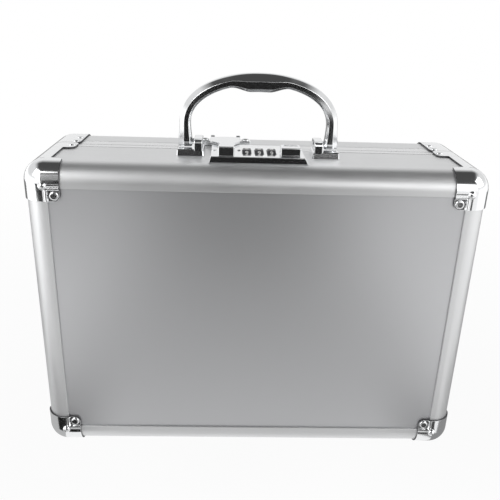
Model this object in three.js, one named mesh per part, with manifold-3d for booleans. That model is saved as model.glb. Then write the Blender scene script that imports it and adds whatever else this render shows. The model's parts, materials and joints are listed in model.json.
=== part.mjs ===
// Lockable aluminium case: a base and a lid hinged along the bottom, chrome corner covers,
// a carrying handle and a three-dial combination lock with a hasp.
// Millimetres. +X is the viewer's right, +Y points away from the viewer and +Z points up.
// The case stands upright on its feet at z = 0, with the base panel in front.
import * as THREE from "three";
import { mergeVertices } from "three/addons/utils/BufferGeometryUtils.js";
import { RoundedBoxGeometry } from "three/addons/geometries/RoundedBoxGeometry.js";
import Module from "manifold-3d";

const wasm = await Module();
wasm.setup();

// Case
const CASE_WIDTH = 330;
const CASE_HEIGHT = 235;
const BASE_DEPTH = 65.7;
const LID_DEPTH = 44.7;
const EDGE_RADIUS = 14.4;
const FIT = 0.1;
const SEAM_GAP = 0.3;

// Edge profiles and panels
const WALL = 1.4;
const LIP_WIDTH = 17.4;
const PANEL_THICKNESS = 3;
const PANEL_GRIP = 2.8;
const FIN_THICKNESS = 1.2;

// Rim bands on both sides of the seam
const BASE_RIM_WIDTH = 8.5;
const LID_RIM_WIDTH = 11.5;
const RIM_GROOVE = 0.6;
const RIM_THICKNESS = 5.5;
const RIM_TONGUE_LENGTH = 5;
const RIM_TONGUE_THICKNESS = 3;

// Lining and dividers
const LINER_INSET = 6;
const LINER_WALL = 1.5;
const LINER_BELOW_SEAM = 0.6;
const DIVIDER_THICKNESS = 4;
const DIVIDER_HEIGHT = 52;
const DIVIDER_GAP = 0.3;
const SHORT_DIVIDER_X = 55;

// Feet
const FOOT_HEIGHT = 7;
const FOOT_RADIUS = 6.5;
const FOOT_TIP_RADIUS = 5.5;
const FOOT_FROM_SIDE = 47;
const FOOT_FROM_PANEL = 24;

// Corner covers
const COVER_PROUD = 1.3;
const COVER_GAP = 0.2;
const COVER_REACH = 26.5;
const COVER_LOBE_RADIUS = 4.5;
const COVER_WIDE_DEPTH = 13.2;
const COVER_SLOPE = 2.3;
const COVER_STRIP = 18;
const COVER_TAB = 17;
const COVER_RIVET_INSET = 22;
const TAB_RIVET_INSET = 23;
const BASE_TAB_RIVET_SHARES = [0.114];
const LID_TAB_RIVET_SHARES = [0.145, 0.436];
const RIVET_RADIUS = 3.4;
const RIVET_HEIGHT = 1.6;
const RIDGE_WIDTH = 2.6;
const RIDGE_HEIGHT = 0.8;
const BALL_RADIUS = 2.4;
const BALL_INSET = 14;

// Hinges
const HINGE_FROM_SIDE = 81;
const LEAF_LENGTH = 40;
const LEAF_DEPTH = 16;
const LEAF_THICKNESS = 1.2;
const KNUCKLE_RADIUS = 2.5;
const KNUCKLE_LENGTH = 13.2;
const HINGE_PIN_RADIUS = 1.2;
const HINGE_DROP = 0.2;

// Lock housing
const LOCK_LEFT = 36;
const LOCK_RIGHT = 35.2;
const LOCK_SLOPE = 2.5;
const LOCK_FROM_SEAM = 11.5;
const LOCK_LENGTH = 40.5;
const LOCK_HEIGHT = 5;
const LOCK_SHEET = 1;
const LOCK_CUTOUT_MARGIN = 3.5;
const UNDERCASE_MARGIN = 2.2;
const UNDERCASE_DEPTH = 12.4;
const UNDERCASE_WALL = 1.2;

// Dials
const DIAL_RADIUS = 9;
const DIAL_WIDTH = 6;
const DIAL_PITCH = 9;
const DIAL_MIDDLE_X = 0.2;
const DIAL_BULGE = 2.6;
const DIAL_FROM_LOCK_FRONT = 16;
const DIAL_FACETS = 20;
const DIAL_BORE_RADIUS = 1.5;
const DIAL_EDGE = 0.5;
const WINDOW_CLEARANCE = 0.4;
const AXLE_RADIUS = 1.2;
const AXLE_POST_THICKNESS = 1.8;
const AXLE_POST_WIDTH = 6;
const AXLE_POST_RISE = 2.4;
const AXLE_POST_CLEARANCE = 1.6;

// Slide button, bolt and spring
const RUN = 0.3;
const BUTTON_X = 15;
const BUTTON_WIDTH = 14.3;
const BUTTON_LENGTH = 13.8;
const BUTTON_HEIGHT = 6.4;
const BUTTON_FROM_LOCK_FRONT = 0.4;
const BUTTON_BEVEL = 0.8;
const BUTTON_TRAVEL = 4;
const STEM_WIDTH = 5.5;
const STEM_LENGTH = 5;
const SLOT_CLEARANCE = 0.6;
const BOLT_THICKNESS = 1.8;
const BOLT_ABOVE_CASE = 0.6;
const BOLT_BAR_WIDTH = 3.5;
const BOLT_PLATE_WIDTH = 7;
const BOLT_NUB_CLEARANCE = 0.4;
const SPRING_RADIUS = 2;
const SPRING_WIRE_RADIUS = 0.35;
const SPRING_CURLS = 7;
const SPRING_LENGTH = 17.6;
const SPRING_LEFT_X = -9.9;
const LUG_THICKNESS = 2;
const LUG_HEIGHT = 4.6;
const LUG_WIDTH = 6.6;
const RESET_PIN_RADIUS = 1;
const RESET_PIN_X = -14.5;
const RESET_PIN_LENGTH = 8.6;
const RESET_PIN_PROUD = 0.6;
const RESET_PIN_FROM_POST = 0.5;

// Hasp
const HASP_BLOCK_LEFT = 45.4;
const HASP_BLOCK_RIGHT = 4.9;
const HASP_BLOCK_FROM_SEAM = 5;
const HASP_BLOCK_LENGTH = 7.4;
const HASP_BLOCK_HEIGHT = 3.9;
const HASP_AXIS_FROM_SEAM = 8.7;
const HASP_AXIS_HEIGHT = 5;
const HASP_EAR_RADIUS = 2.9;
const HASP_EAR_WIDTH = 3.2;
const HASP_BARREL_RADIUS = 2.8;
const HASP_BARREL_LEFT = 36.6;
const HASP_BARREL_RIGHT = 13.4;
const HASP_PIN_RADIUS = 1.2;
const TONGUE_LEFT = 29.4;
const TONGUE_RIGHT = 17.9;
const TONGUE_REACH = 60.8;
const TONGUE_THICKNESS = 1.8;
const TONGUE_NOSE_HEIGHT = 6.7;
const TONGUE_NOSE_LENGTH = 8;
const TONGUE_NOSE_ROUND = 1.6;
const TONGUE_SHOULDER = 22;
const NUB_LEFT = 28;
const NUB_RIGHT = 20;
const NUB_LENGTH = 8;
const NUB_DEPTH = 3.7;
const HASP_RIVET_RADIUS = 3.2;
const HASP_RIVET_HEIGHT = 1.8;
const HASP_RIVET_INSET = 4.2;
const HASP_RIVET_FROM_REAR = 3.7;

// Handle and brackets
const HANDLE_HALF_WIDTH = 54.6;
const HANDLE_PIVOT_HEIGHT = 9.6;
const HANDLE_FROM_SEAM = 20.8;
const HANDLE_LEG_TOP = 22;
const HANDLE_CROWN_HEIGHT = 53.2;
const HANDLE_CROWN_HALF = 22;
const HANDLE_EYE_RADIUS = 4.6;
const HANDLE_EYE_WIDTH = 11.2;
const HANDLE_FOOT_THICKNESS = 10.6;
const HANDLE_LEG_THICKNESS = 8.8;
const HANDLE_GRIP_THICKNESS = 13;
const HANDLE_LEG_DEPTH = 9;
const HANDLE_GRIP_DEPTH = 15;
const HANDLE_BEVEL = 2.6;
const HANDLE_BORE_DEPTH = 8.5;
const HANDLE_PIN_RADIUS = 1.4;
const BRACKET_EYE_GAP = 1;
const BRACKET_WIDTH = 21;
const BRACKET_LENGTH = 21.5;
const BRACKET_HEIGHT = 4.7;
const BRACKET_FROM_SEAM = 9.9;
const POST_INSET = 0.5;
const POST_WIDTH = 7.5;
const POST_TOP = 12.4;
const POST_ROUND = 4;

// Facets
const ROUND_STEPS = 3;
const SMALL_ROUND_STEPS = 3;
const SMALL_FACETS = 12;
const BARREL_FACETS = 16;
const DOME_STEPS = 3;
const DOME_FACETS = 10;

// Places worked out from the sizes above
const CASE_DEPTH = BASE_DEPTH + LID_DEPTH;
const HALF_WIDTH = CASE_WIDTH / 2;
const FRONT_Y = -CASE_DEPTH / 2;
const SEAM_Y = FRONT_Y + BASE_DEPTH;
const TOP = CASE_HEIGHT;
const LOCK_REAR = SEAM_Y - LOCK_FROM_SEAM;
const LOCK_FRONT = LOCK_REAR - LOCK_LENGTH;
const LOCK_TOP = TOP + LOCK_HEIGHT;
const DIAL_Y = LOCK_FRONT + DIAL_FROM_LOCK_FRONT;
const DIAL_Z = LOCK_TOP + DIAL_BULGE - DIAL_RADIUS;
const DIAL_SPAN = DIAL_PITCH + DIAL_WIDTH / 2;
const HASP_AXIS_Y = SEAM_Y + HASP_AXIS_FROM_SEAM;
const HASP_AXIS_Z = TOP + HASP_AXIS_HEIGHT;
const TONGUE_TIP_Y = HASP_AXIS_Y - TONGUE_REACH;
const TONGUE_UNDER = LOCK_TOP + RUN;
const HINGE_Z = -KNUCKLE_RADIUS - HINGE_DROP;
const HANDLE_PIVOT_Y = SEAM_Y - HANDLE_FROM_SEAM;
const HANDLE_PIVOT_Z = TOP + HANDLE_PIVOT_HEIGHT;
const BRACKET_REAR_Y = SEAM_Y - BRACKET_FROM_SEAM;
const OVERRUN = CASE_DEPTH;

// Materials
function finish(color, roughness, metalness) {
  return new THREE.MeshStandardMaterial({ color, roughness, metalness });
}

const satinAluminium = finish(0xc9cacc, 0.42, 0.85);
const panelAluminium = finish(0xa9abad, 0.5, 0.8);
const chrome = finish(0xe6e7ea, 0.08, 1);
const darkSteel = finish(0x55575b, 0.35, 0.9);
const blackPlastic = finish(0x1d1d20, 0.5, 0);
const lining = finish(0x26262a, 0.95, 0);
const rubber = finish(0x151516, 0.9, 0);

// Solids: closed meshes that can be joined and cut
function solid(geometry) {
  const bare = geometry.index ? geometry.toNonIndexed() : geometry.clone();
  bare.deleteAttribute("normal");
  bare.deleteAttribute("uv");
  const merged = mergeVertices(bare, FIT / 1000);
  return new wasm.Manifold(
    new wasm.Mesh({
      numProp: 3,
      vertProperties: merged.attributes.position.array,
      triVerts: new Uint32Array(merged.index.array),
    }),
  );
}

function join(first, ...others) {
  return others.reduce((sum, other) => sum.add(other), first);
}

function cut(first, ...others) {
  return others.reduce((rest, other) => rest.subtract(other), first);
}

// The same solid turned over in x, y or z, each of them 1 or -1.
function mirrored(body, flipX, flipY, flipZ) {
  const mesh = body.getMesh();
  const points = Float32Array.from(mesh.vertProperties);
  const flips = [flipX, flipY, flipZ];
  points.forEach((value, i) => {
    points[i] = value * flips[i % flips.length];
  });
  const corners = Uint32Array.from(mesh.triVerts);
  if (flipX * flipY * flipZ < 0) corners.reverse();
  return new wasm.Manifold(
    new wasm.Mesh({ numProp: 3, vertProperties: points, triVerts: corners }),
  );
}

function moved(body, x, y, z) {
  return body.translate([x, y, z]);
}

function block(x0, x1, y0, y1, z0, z1) {
  const geometry = new THREE.BoxGeometry(x1 - x0, y1 - y0, z1 - z0);
  return solid(geometry.translate((x0 + x1) / 2, (y0 + y1) / 2, (z0 + z1) / 2));
}

// An outline carried along x, y or z. Its points are (y, z), (x, z) or (x, y).
const X = new THREE.Vector3(1, 0, 0);
const Y = new THREE.Vector3(0, 1, 0);
const Z = new THREE.Vector3(0, 0, 1);

function prism(axis, points, from, to, hole) {
  const shape = new THREE.Shape(points);
  if (hole) shape.holes.push(new THREE.Path(hole));
  const geometry = new THREE.ExtrudeGeometry(shape, {
    depth: to - from,
    steps: 1,
    bevelEnabled: false,
  });
  const turn = new THREE.Matrix4();
  if (axis === "x") turn.makeBasis(Y, Z, X).setPosition(from, 0, 0);
  if (axis === "y") turn.makeBasis(X, Z, Y.clone().negate()).setPosition(0, to, 0);
  if (axis === "z") turn.makeBasis(X, Y, Z).setPosition(0, 0, from);
  return solid(geometry.applyMatrix4(turn));
}

function rod(axis, radius, from, to, a, b, facets) {
  const geometry = new THREE.CylinderGeometry(radius, radius, to - from, facets);
  const middle = (from + to) / 2;
  if (axis === "x") geometry.rotateZ(Math.PI / 2).translate(middle, a, b);
  if (axis === "y") geometry.translate(a, middle, b);
  if (axis === "z") geometry.rotateX(Math.PI / 2).translate(a, b, middle);
  return solid(geometry);
}

// A low dome on a flat foot that stands on z = 0.
function dome(radius, height) {
  const points = [new THREE.Vector2(0, 0), new THREE.Vector2(radius, 0)];
  for (let i = 1; i < DOME_STEPS; i += 1) {
    const angle = ((i / DOME_STEPS) * Math.PI) / 2;
    points.push(new THREE.Vector2(radius * Math.cos(angle), height * Math.sin(angle)));
  }
  points.push(new THREE.Vector2(0, height));
  const geometry = new THREE.LatheGeometry(points, DOME_FACETS);
  return solid(geometry.rotateX(Math.PI / 2));
}

// Angles of a quarter round, spaced as a rounded box spaces them, so that facets lie parallel.
const QUARTER_ANGLES = [];
for (let i = 0; i <= ROUND_STEPS; i += 1) QUARTER_ANGLES.push(Math.atan(i / ROUND_STEPS));
for (let i = ROUND_STEPS - 1; i >= 0; i -= 1) {
  QUARTER_ANGLES.push(Math.PI / 2 - Math.atan(i / ROUND_STEPS));
}

function arc(angles, centreU, centreV, radius, start) {
  return angles.map(
    (angle) =>
      new THREE.Vector2(
        centreU + radius * Math.cos(start + angle),
        centreV + radius * Math.sin(start + angle),
      ),
  );
}

function quarter(centreU, centreV, radius, start) {
  return arc(QUARTER_ANGLES, centreU, centreV, radius, start);
}

// A quarter round of a small corner, in even steps
function smallQuarter(centreU, centreV, radius, start) {
  const angles = [];
  for (let i = 0; i <= SMALL_ROUND_STEPS; i += 1) {
    angles.push(((i / SMALL_ROUND_STEPS) * Math.PI) / 2);
  }
  return arc(angles, centreU, centreV, radius, start);
}

function roundedRectangle(u0, u1, v0, v1, radius) {
  return [
    ...quarter(u1 - radius, v1 - radius, radius, 0),
    ...quarter(u0 + radius, v1 - radius, radius, Math.PI / 2),
    ...quarter(u0 + radius, v0 + radius, radius, Math.PI),
    ...quarter(u1 - radius, v0 + radius, radius, -Math.PI / 2),
  ];
}

// The case's outline seen from the front, drawn in by an inset.
function caseOutline(inset) {
  const left = inset - HALF_WIDTH;
  return roundedRectangle(left, -left, inset, TOP - inset, EDGE_RADIUS - inset);
}

const model = new THREE.Group();
model.position.z = FOOT_HEIGHT;

function piece(name, body, material) {
  const mesh = body.getMesh();
  const geometry = new THREE.BufferGeometry();
  geometry.setAttribute("position", new THREE.BufferAttribute(mesh.vertProperties, 3));
  geometry.setIndex(new THREE.BufferAttribute(mesh.triVerts, 1));
  const flat = geometry.toNonIndexed();
  flat.computeVertexNormals();
  const made = new THREE.Mesh(flat, material);
  made.name = name;
  model.add(made);
}

// Edge profiles. The section's u runs inwards from the panel's face and v inwards from the edge.
// It has a lip over the panel, a round edge, a wall as deep as the shell and a fin behind the panel.
function profileSection(shellDepth) {
  const finFront = WALL + PANEL_THICKNESS + 2 * FIT;
  const finRear = finFront + FIN_THICKNESS;
  const innerRadius = EDGE_RADIUS - WALL;
  const outer = quarter(EDGE_RADIUS, EDGE_RADIUS, EDGE_RADIUS, Math.PI);
  const inner = quarter(EDGE_RADIUS, EDGE_RADIUS, innerRadius, Math.PI).reverse();
  const insideAt = (u) => {
    const i = inner.findIndex((point) => point.x <= u);
    const share = (inner[i - 1].x - u) / (inner[i - 1].x - inner[i].x);
    return new THREE.Vector2(u, inner[i - 1].y + share * (inner[i].y - inner[i - 1].y));
  };
  return [
    new THREE.Vector2(0, LIP_WIDTH),
    ...outer,
    new THREE.Vector2(shellDepth, 0),
    new THREE.Vector2(shellDepth, WALL),
    ...inner.filter((point) => point.x > finRear),
    insideAt(finRear),
    new THREE.Vector2(finRear, LIP_WIDTH),
    new THREE.Vector2(finFront, LIP_WIDTH),
    insideAt(finFront),
    ...inner.filter((point) => point.x < finFront),
    new THREE.Vector2(WALL, LIP_WIDTH),
  ];
}

// The space that the lock takes up in the sheet, below its top by a depth, inset by a margin
function lockSpace(margin, low, high) {
  return block(
    margin - LOCK_LEFT,
    LOCK_RIGHT - margin - LOCK_SLOPE,
    LOCK_FRONT + margin,
    LOCK_REAR - margin,
    low,
    high,
  );
}

function lockCutout() {
  return join(
    lockSpace(LOCK_CUTOUT_MARGIN, TOP - OVERRUN / 2, TOP + OVERRUN / 2),
    lockSpace(UNDERCASE_MARGIN - RUN, TOP - UNDERCASE_DEPTH - RUN, TOP - WALL),
  );
}

function addProfiles(half, shellDepth, facing) {
  const section = profileSection(shellDepth);
  const u = (point) => facing * (CASE_DEPTH / 2 - point.x);
  const acrossX = HALF_WIDTH - EDGE_RADIUS;
  const alongZ = LIP_WIDTH + 2 * FIT;
  const above = section.map((point) => new THREE.Vector2(u(point), TOP - point.y));
  const below = section.map((point) => new THREE.Vector2(u(point), point.y));
  const aside = section.map((point) => new THREE.Vector2(HALF_WIDTH - point.y, u(point)));
  const top = prism("x", above, -acrossX, acrossX);
  const right = prism("z", aside, alongZ, TOP - alongZ);
  const isBase = facing < 0;
  piece(`${half}_profile_top`, isBase ? cut(top, lockCutout()) : top, satinAluminium);
  piece(`${half}_profile_bottom`, prism("x", below, -acrossX, acrossX), satinAluminium);
  piece(`${half}_profile_right`, right, satinAluminium);
  piece(`${half}_profile_left`, mirrored(right, -1, 1, 1), satinAluminium);
}

function addPanel(half, facing) {
  const inset = LIP_WIDTH - PANEL_GRIP;
  const panelFace = facing * (CASE_DEPTH / 2 - WALL - FIT);
  const panelBack = panelFace - facing * PANEL_THICKNESS;
  const body = block(
    inset - HALF_WIDTH,
    HALF_WIDTH - inset,
    Math.min(panelFace, panelBack),
    Math.max(panelFace, panelBack),
    inset,
    TOP - inset,
  );
  piece(`${half}_panel`, body, panelAluminium);
}

// A rim band flush with the outside, and its tongue that sits inside the profiles.
function addRim(half, width, facing) {
  const seam = SEAM_Y + (facing * SEAM_GAP) / 2;
  const groove = SEAM_Y + facing * (width - RIM_GROOVE);
  const tongueEnd = groove + facing * RIM_TONGUE_LENGTH;
  const ring = (outerInset, innerInset, a, b) =>
    prism("y", caseOutline(outerInset), Math.min(a, b), Math.max(a, b), caseOutline(innerInset));
  const tongueInset = WALL + FIT;
  const body = join(
    ring(0, RIM_THICKNESS, seam, groove),
    ring(tongueInset, tongueInset + RIM_TONGUE_THICKNESS, groove, tongueEnd),
  );
  piece(`${half}_rim`, body, satinAluminium);
}

// Lining trays, open at the seam
function linerBack() {
  return CASE_DEPTH / 2 - WALL - PANEL_THICKNESS - FIN_THICKNESS - 4 * FIT;
}

function addLiner(half, facing) {
  const back = facing * linerBack();
  const floor = back - facing * LINER_WALL;
  const mouth = SEAM_Y + facing * LINER_BELOW_SEAM;
  const tray = (inset, a, b) => prism("y", caseOutline(inset), Math.min(a, b), Math.max(a, b));
  let body = cut(
    tray(LINER_INSET, back, mouth),
    tray(LINER_INSET + LINER_WALL, floor, mouth - facing * OVERRUN),
  );
  if (facing < 0) {
    body = cut(
      body,
      block(
        -LOCK_LEFT,
        LOCK_RIGHT,
        LOCK_FRONT,
        LOCK_REAR,
        TOP - UNDERCASE_DEPTH - LINER_WALL,
        TOP,
      ),
    );
  }
  piece(`${half}_liner`, body, lining);
}

function addDividers() {
  const floor = -linerBack() + LINER_WALL + DIVIDER_GAP;
  const top = floor + DIVIDER_HEIGHT;
  const inside = LINER_INSET + LINER_WALL + DIVIDER_GAP;
  const middle = TOP / 2;
  const half = DIVIDER_THICKNESS / 2;
  const across = HALF_WIDTH - inside;
  const gap = half + DIVIDER_GAP;
  const upper = [-SHORT_DIVIDER_X - half, half - SHORT_DIVIDER_X];
  const lower = [SHORT_DIVIDER_X - half, SHORT_DIVIDER_X + half];
  piece("divider_long", block(-across, across, floor, top, middle - half, middle + half), lining);
  piece("divider_short_upper", block(...upper, floor, top, middle + gap, TOP - inside), lining);
  piece("divider_short_lower", block(...lower, floor, top, inside, middle - gap), lining);
}

function addFeet() {
  const profile = [
    new THREE.Vector2(0, -FOOT_HEIGHT),
    new THREE.Vector2(FOOT_TIP_RADIUS, -FOOT_HEIGHT),
    new THREE.Vector2(FOOT_RADIUS, -FIT),
    new THREE.Vector2(0, -FIT),
  ];
  const foot = solid(new THREE.LatheGeometry(profile, BARREL_FACETS).rotateX(Math.PI / 2));
  const x = HALF_WIDTH - FOOT_FROM_SIDE;
  const y = CASE_DEPTH / 2 - FOOT_FROM_PANEL;
  for (const [half, facing] of [["base", -1], ["lid", 1]]) {
    piece(`foot_${half}_left`, moved(foot, -x, facing * y, 0), rubber);
    piece(`foot_${half}_right`, moved(foot, x, facing * y, 0), rubber);
  }
}

// Corner covers: a sheet that follows the rounded case corner, cut to outlines on three faces.
function caseRounded(outset) {
  const geometry = new RoundedBoxGeometry(
    CASE_WIDTH + 2 * outset,
    CASE_DEPTH + 2 * outset,
    CASE_HEIGHT + 2 * outset,
    ROUND_STEPS,
    EDGE_RADIUS + outset,
  );
  return moved(solid(geometry), 0, 0, TOP / 2);
}

// Outline of a cover on the top face: a is the inset from the side, u the depth from the panel.
function topOutline(shellDepth, hasNotch) {
  const end = shellDepth - SEAM_GAP;
  const tabStart = shellDepth - COVER_TAB;
  const points = [
    [-OVERRUN, COVER_WIDE_DEPTH - EDGE_RADIUS],
    [COVER_REACH, COVER_WIDE_DEPTH - EDGE_RADIUS],
    [COVER_REACH, COVER_WIDE_DEPTH],
  ];
  const centre = COVER_REACH - COVER_LOBE_RADIUS;
  const tabRound = (depth, start) =>
    smallQuarter(centre, depth, COVER_LOBE_RADIUS, start).map((point) => [point.x, point.y]);
  if (hasNotch) {
    points.push(
      [COVER_STRIP, COVER_WIDE_DEPTH + COVER_SLOPE],
      [COVER_STRIP, tabStart],
      ...tabRound(tabStart + COVER_LOBE_RADIUS, -Math.PI / 2),
    );
  }
  points.push(...tabRound(end - COVER_LOBE_RADIUS, 0), [-OVERRUN, end]);
  return points;
}

function coverRegion(shellDepth, hasNotch) {
  const x = (inset) => HALF_WIDTH - inset;
  const z = (inset) => TOP - inset;
  const y = (depth) => FRONT_Y + depth;
  const lobe = smallQuarter(
    x(COVER_REACH - COVER_LOBE_RADIUS),
    z(COVER_REACH - COVER_LOBE_RADIUS),
    COVER_LOBE_RADIUS,
    Math.PI,
  );
  const front = [
    ...lobe,
    new THREE.Vector2(x(-OVERRUN), z(COVER_REACH)),
    new THREE.Vector2(x(-OVERRUN), z(-OVERRUN)),
    new THREE.Vector2(x(COVER_REACH), z(-OVERRUN)),
  ];
  const outline = topOutline(shellDepth, hasNotch);
  const onTop = outline.map(([a, u]) => new THREE.Vector2(x(a), y(u)));
  const onSide = outline.map(([b, u]) => new THREE.Vector2(y(u), z(b)));
  return join(
    prism("y", front, y(-EDGE_RADIUS), y(COVER_WIDE_DEPTH)),
    prism("z", onTop, z(EDGE_RADIUS), z(-EDGE_RADIUS)),
    prism("x", onSide, x(EDGE_RADIUS), x(-EDGE_RADIUS)),
  );
}

// The lobe that lies on the panel, two ridges over the panel's groove and the ball where they meet
function coverFace() {
  const x = (inset) => HALF_WIDTH - inset;
  const z = (inset) => TOP - inset;
  const face = FRONT_Y - COVER_PROUD;
  const low = LIP_WIDTH + COVER_GAP;
  const half = RIDGE_WIDTH / 2;
  const centre = COVER_REACH - COVER_LOBE_RADIUS;
  const pad = [
    ...smallQuarter(x(centre), z(centre), COVER_LOBE_RADIUS, Math.PI),
    new THREE.Vector2(x(low), z(COVER_REACH)),
    new THREE.Vector2(x(low), z(low)),
    new THREE.Vector2(x(COVER_REACH), z(low)),
  ];
  const reach = COVER_REACH - half;
  const ridge = (from, to) =>
    block(x(to), x(from), face - RIDGE_HEIGHT, face + FIT, z(LIP_WIDTH + half), z(LIP_WIDTH - half));
  const ball = dome(BALL_RADIUS, BALL_RADIUS);
  return join(
    prism("y", pad, face, FRONT_Y + WALL - FIT),
    ridge(BALL_INSET, reach),
    block(
      x(LIP_WIDTH + half),
      x(LIP_WIDTH - half),
      face - RIDGE_HEIGHT,
      face + FIT,
      z(reach),
      z(BALL_INSET),
    ),
    moved(facingFront(ball), x(BALL_INSET), face, z(BALL_INSET)),
    moved(
      facingFront(dome(RIVET_RADIUS, RIVET_HEIGHT)),
      x(COVER_RIVET_INSET),
      face,
      z(COVER_RIVET_INSET),
    ),
  );
}

// A dome turned from facing +z to facing -y or +x, sunk by a hair so that it joins its sheet.
function facingFront(body) {
  return moved(body.rotate([90, 0, 0]), 0, FIT, 0);
}

function facingRight(body) {
  return moved(body.rotate([0, 90, 0]), -FIT, 0, 0);
}

function makeCover(shellDepth, rivetShares, hasNotch) {
  const skin = cut(caseRounded(COVER_PROUD), caseRounded(COVER_GAP));
  const sheet = skin.intersect(coverRegion(shellDepth, hasNotch));
  const heads = rivetShares.flatMap((share) => {
    const y = FRONT_Y + shellDepth * (1 - share);
    const head = dome(RIVET_RADIUS, RIVET_HEIGHT);
    return [
      moved(head, HALF_WIDTH - TAB_RIVET_INSET, y, TOP + COVER_PROUD - FIT),
      moved(facingRight(head), HALF_WIDTH + COVER_PROUD, y, TOP - TAB_RIVET_INSET),
    ];
  });
  return join(sheet, coverFace(), ...heads);
}

function addCovers() {
  const covers = {
    base: makeCover(BASE_DEPTH, BASE_TAB_RIVET_SHARES, true),
    lid: makeCover(LID_DEPTH, LID_TAB_RIVET_SHARES, false),
  };
  for (const [half, body] of Object.entries(covers)) {
    const flipY = half === "lid" ? -1 : 1;
    for (const [level, flipZ] of [["top", 1], ["bottom", -1]]) {
      for (const [side, flipX] of [["right", 1], ["left", -1]]) {
        const centred = moved(body, 0, 0, -TOP / 2);
        const placed = moved(mirrored(centred, flipX, flipY, flipZ), 0, 0, TOP / 2);
        piece(`${half}_corner_${level}_${side}`, placed, chrome);
      }
    }
  }
}

// Hinges under the case: each leaf has its knuckles around one pin on the seam.
function makeLeaf(facing, knuckles) {
  const leafTop = -FIT;
  const leafBottom = leafTop - LEAF_THICKNESS;
  const near = SEAM_Y + facing * (KNUCKLE_RADIUS + RUN);
  const far = SEAM_Y + facing * LEAF_DEPTH;
  const half = LEAF_LENGTH / 2;
  const span = (a, b) => [Math.min(a, b), Math.max(a, b)];
  let body = block(-half, half, ...span(near, far), leafBottom, leafTop);
  for (const [from, to] of knuckles) {
    body = join(
      body,
      block(
        from,
        to,
        ...span(SEAM_Y, near + facing * FIT),
        leafBottom,
        HINGE_Z + KNUCKLE_RADIUS - FIT,
      ),
      rod("x", KNUCKLE_RADIUS, from, to, SEAM_Y, HINGE_Z, BARREL_FACETS),
    );
  }
  const bore = HINGE_PIN_RADIUS + FIT;
  return cut(body, rod("x", bore, -OVERRUN, OVERRUN, SEAM_Y, HINGE_Z, SMALL_FACETS));
}

function addHinges() {
  const half = LEAF_LENGTH / 2;
  const middle = half - KNUCKLE_LENGTH - RUN;
  const outer = [[-half, KNUCKLE_LENGTH - half], [half - KNUCKLE_LENGTH, half]];
  const baseLeaf = makeLeaf(-1, outer);
  const lidLeaf = makeLeaf(1, [[-middle, middle]]);
  const pin = rod("x", HINGE_PIN_RADIUS, -half, half, SEAM_Y, HINGE_Z, SMALL_FACETS);
  const hingeX = HALF_WIDTH - HINGE_FROM_SIDE;
  for (const [side, x] of [["left", -hingeX], ["right", hingeX]]) {
    piece(`hinge_leaf_base_${side}`, moved(baseLeaf, x, 0, 0), darkSteel);
    piece(`hinge_leaf_lid_${side}`, moved(lidLeaf, x, 0, 0), darkSteel);
    piece(`hinge_pin_${side}`, moved(pin, x, 0, 0), darkSteel);
  }
}

// Lock
function dialCentres() {
  return [-1, 0, 1].map((step) => DIAL_MIDDLE_X + step * DIAL_PITCH);
}

function stemPlace() {
  const y = LOCK_FRONT + BUTTON_FROM_LOCK_FRONT + BUTTON_LENGTH / 2;
  return { x: BUTTON_X + BUTTON_WIDTH / 2, y };
}

function nubRear() {
  return DIAL_Y + DIAL_RADIUS + RUN + BOLT_BAR_WIDTH + 2 * RUN;
}

function resetPinY() {
  return DIAL_Y + AXLE_POST_WIDTH / 2 + RESET_PIN_FROM_POST + RESET_PIN_RADIUS;
}

function addLockPlate() {
  const outline = [
    new THREE.Vector2(-LOCK_LEFT, TOP + FIT),
    new THREE.Vector2(LOCK_RIGHT, TOP + FIT),
    new THREE.Vector2(LOCK_RIGHT - LOCK_SLOPE, LOCK_TOP),
    new THREE.Vector2(LOCK_SLOPE / 2 - LOCK_LEFT, LOCK_TOP),
  ];
  const wall = LOCK_SHEET + LOCK_SLOPE / 2;
  const hollow = block(
    wall - LOCK_LEFT,
    LOCK_RIGHT - LOCK_SLOPE - wall,
    LOCK_FRONT + LOCK_SHEET,
    LOCK_REAR - LOCK_SHEET,
    TOP - OVERRUN,
    LOCK_TOP - LOCK_SHEET,
  );
  const reach = Math.sqrt(DIAL_RADIUS ** 2 - (LOCK_TOP - LOCK_SHEET - DIAL_Z) ** 2);
  const windows = dialCentres().map((x) => {
    const half = DIAL_WIDTH / 2 + WINDOW_CLEARANCE;
    const along = reach + WINDOW_CLEARANCE;
    return block(x - half, x + half, DIAL_Y - along, DIAL_Y + along, TOP + FIT, TOP + OVERRUN);
  });
  const stem = stemPlace();
  const stemSlot = block(
    stem.x - STEM_WIDTH / 2 - SLOT_CLEARANCE,
    stem.x + STEM_WIDTH / 2 + BUTTON_TRAVEL + SLOT_CLEARANCE,
    stem.y - STEM_LENGTH / 2 - SLOT_CLEARANCE,
    stem.y + STEM_LENGTH / 2 + SLOT_CLEARANCE,
    TOP + FIT,
    TOP + OVERRUN,
  );
  const nubSlot = block(
    -NUB_LEFT - SLOT_CLEARANCE,
    SLOT_CLEARANCE - NUB_RIGHT,
    nubRear() - NUB_LENGTH - SLOT_CLEARANCE,
    LOCK_REAR + OVERRUN,
    TOP + FIT + BOLT_ABOVE_CASE,
    TOP + OVERRUN,
  );
  const pinHole = rod(
    "z",
    RESET_PIN_RADIUS + RUN,
    TOP,
    TOP + OVERRUN,
    RESET_PIN_X,
    resetPinY(),
    SMALL_FACETS,
  );
  const body = cut(
    prism("y", outline, LOCK_FRONT, LOCK_REAR),
    hollow,
    ...windows,
    stemSlot,
    nubSlot,
    pinHole,
  );
  piece("lock_plate", body, chrome);
}

function springY() {
  return nubRear() + SPRING_RADIUS + RUN;
}

function postSpans() {
  const centre = DIAL_MIDDLE_X;
  const inner = DIAL_SPAN + AXLE_POST_CLEARANCE;
  const outer = inner + AXLE_POST_THICKNESS;
  return [[centre - outer, centre - inner], [centre + inner, centre + outer]];
}

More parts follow.
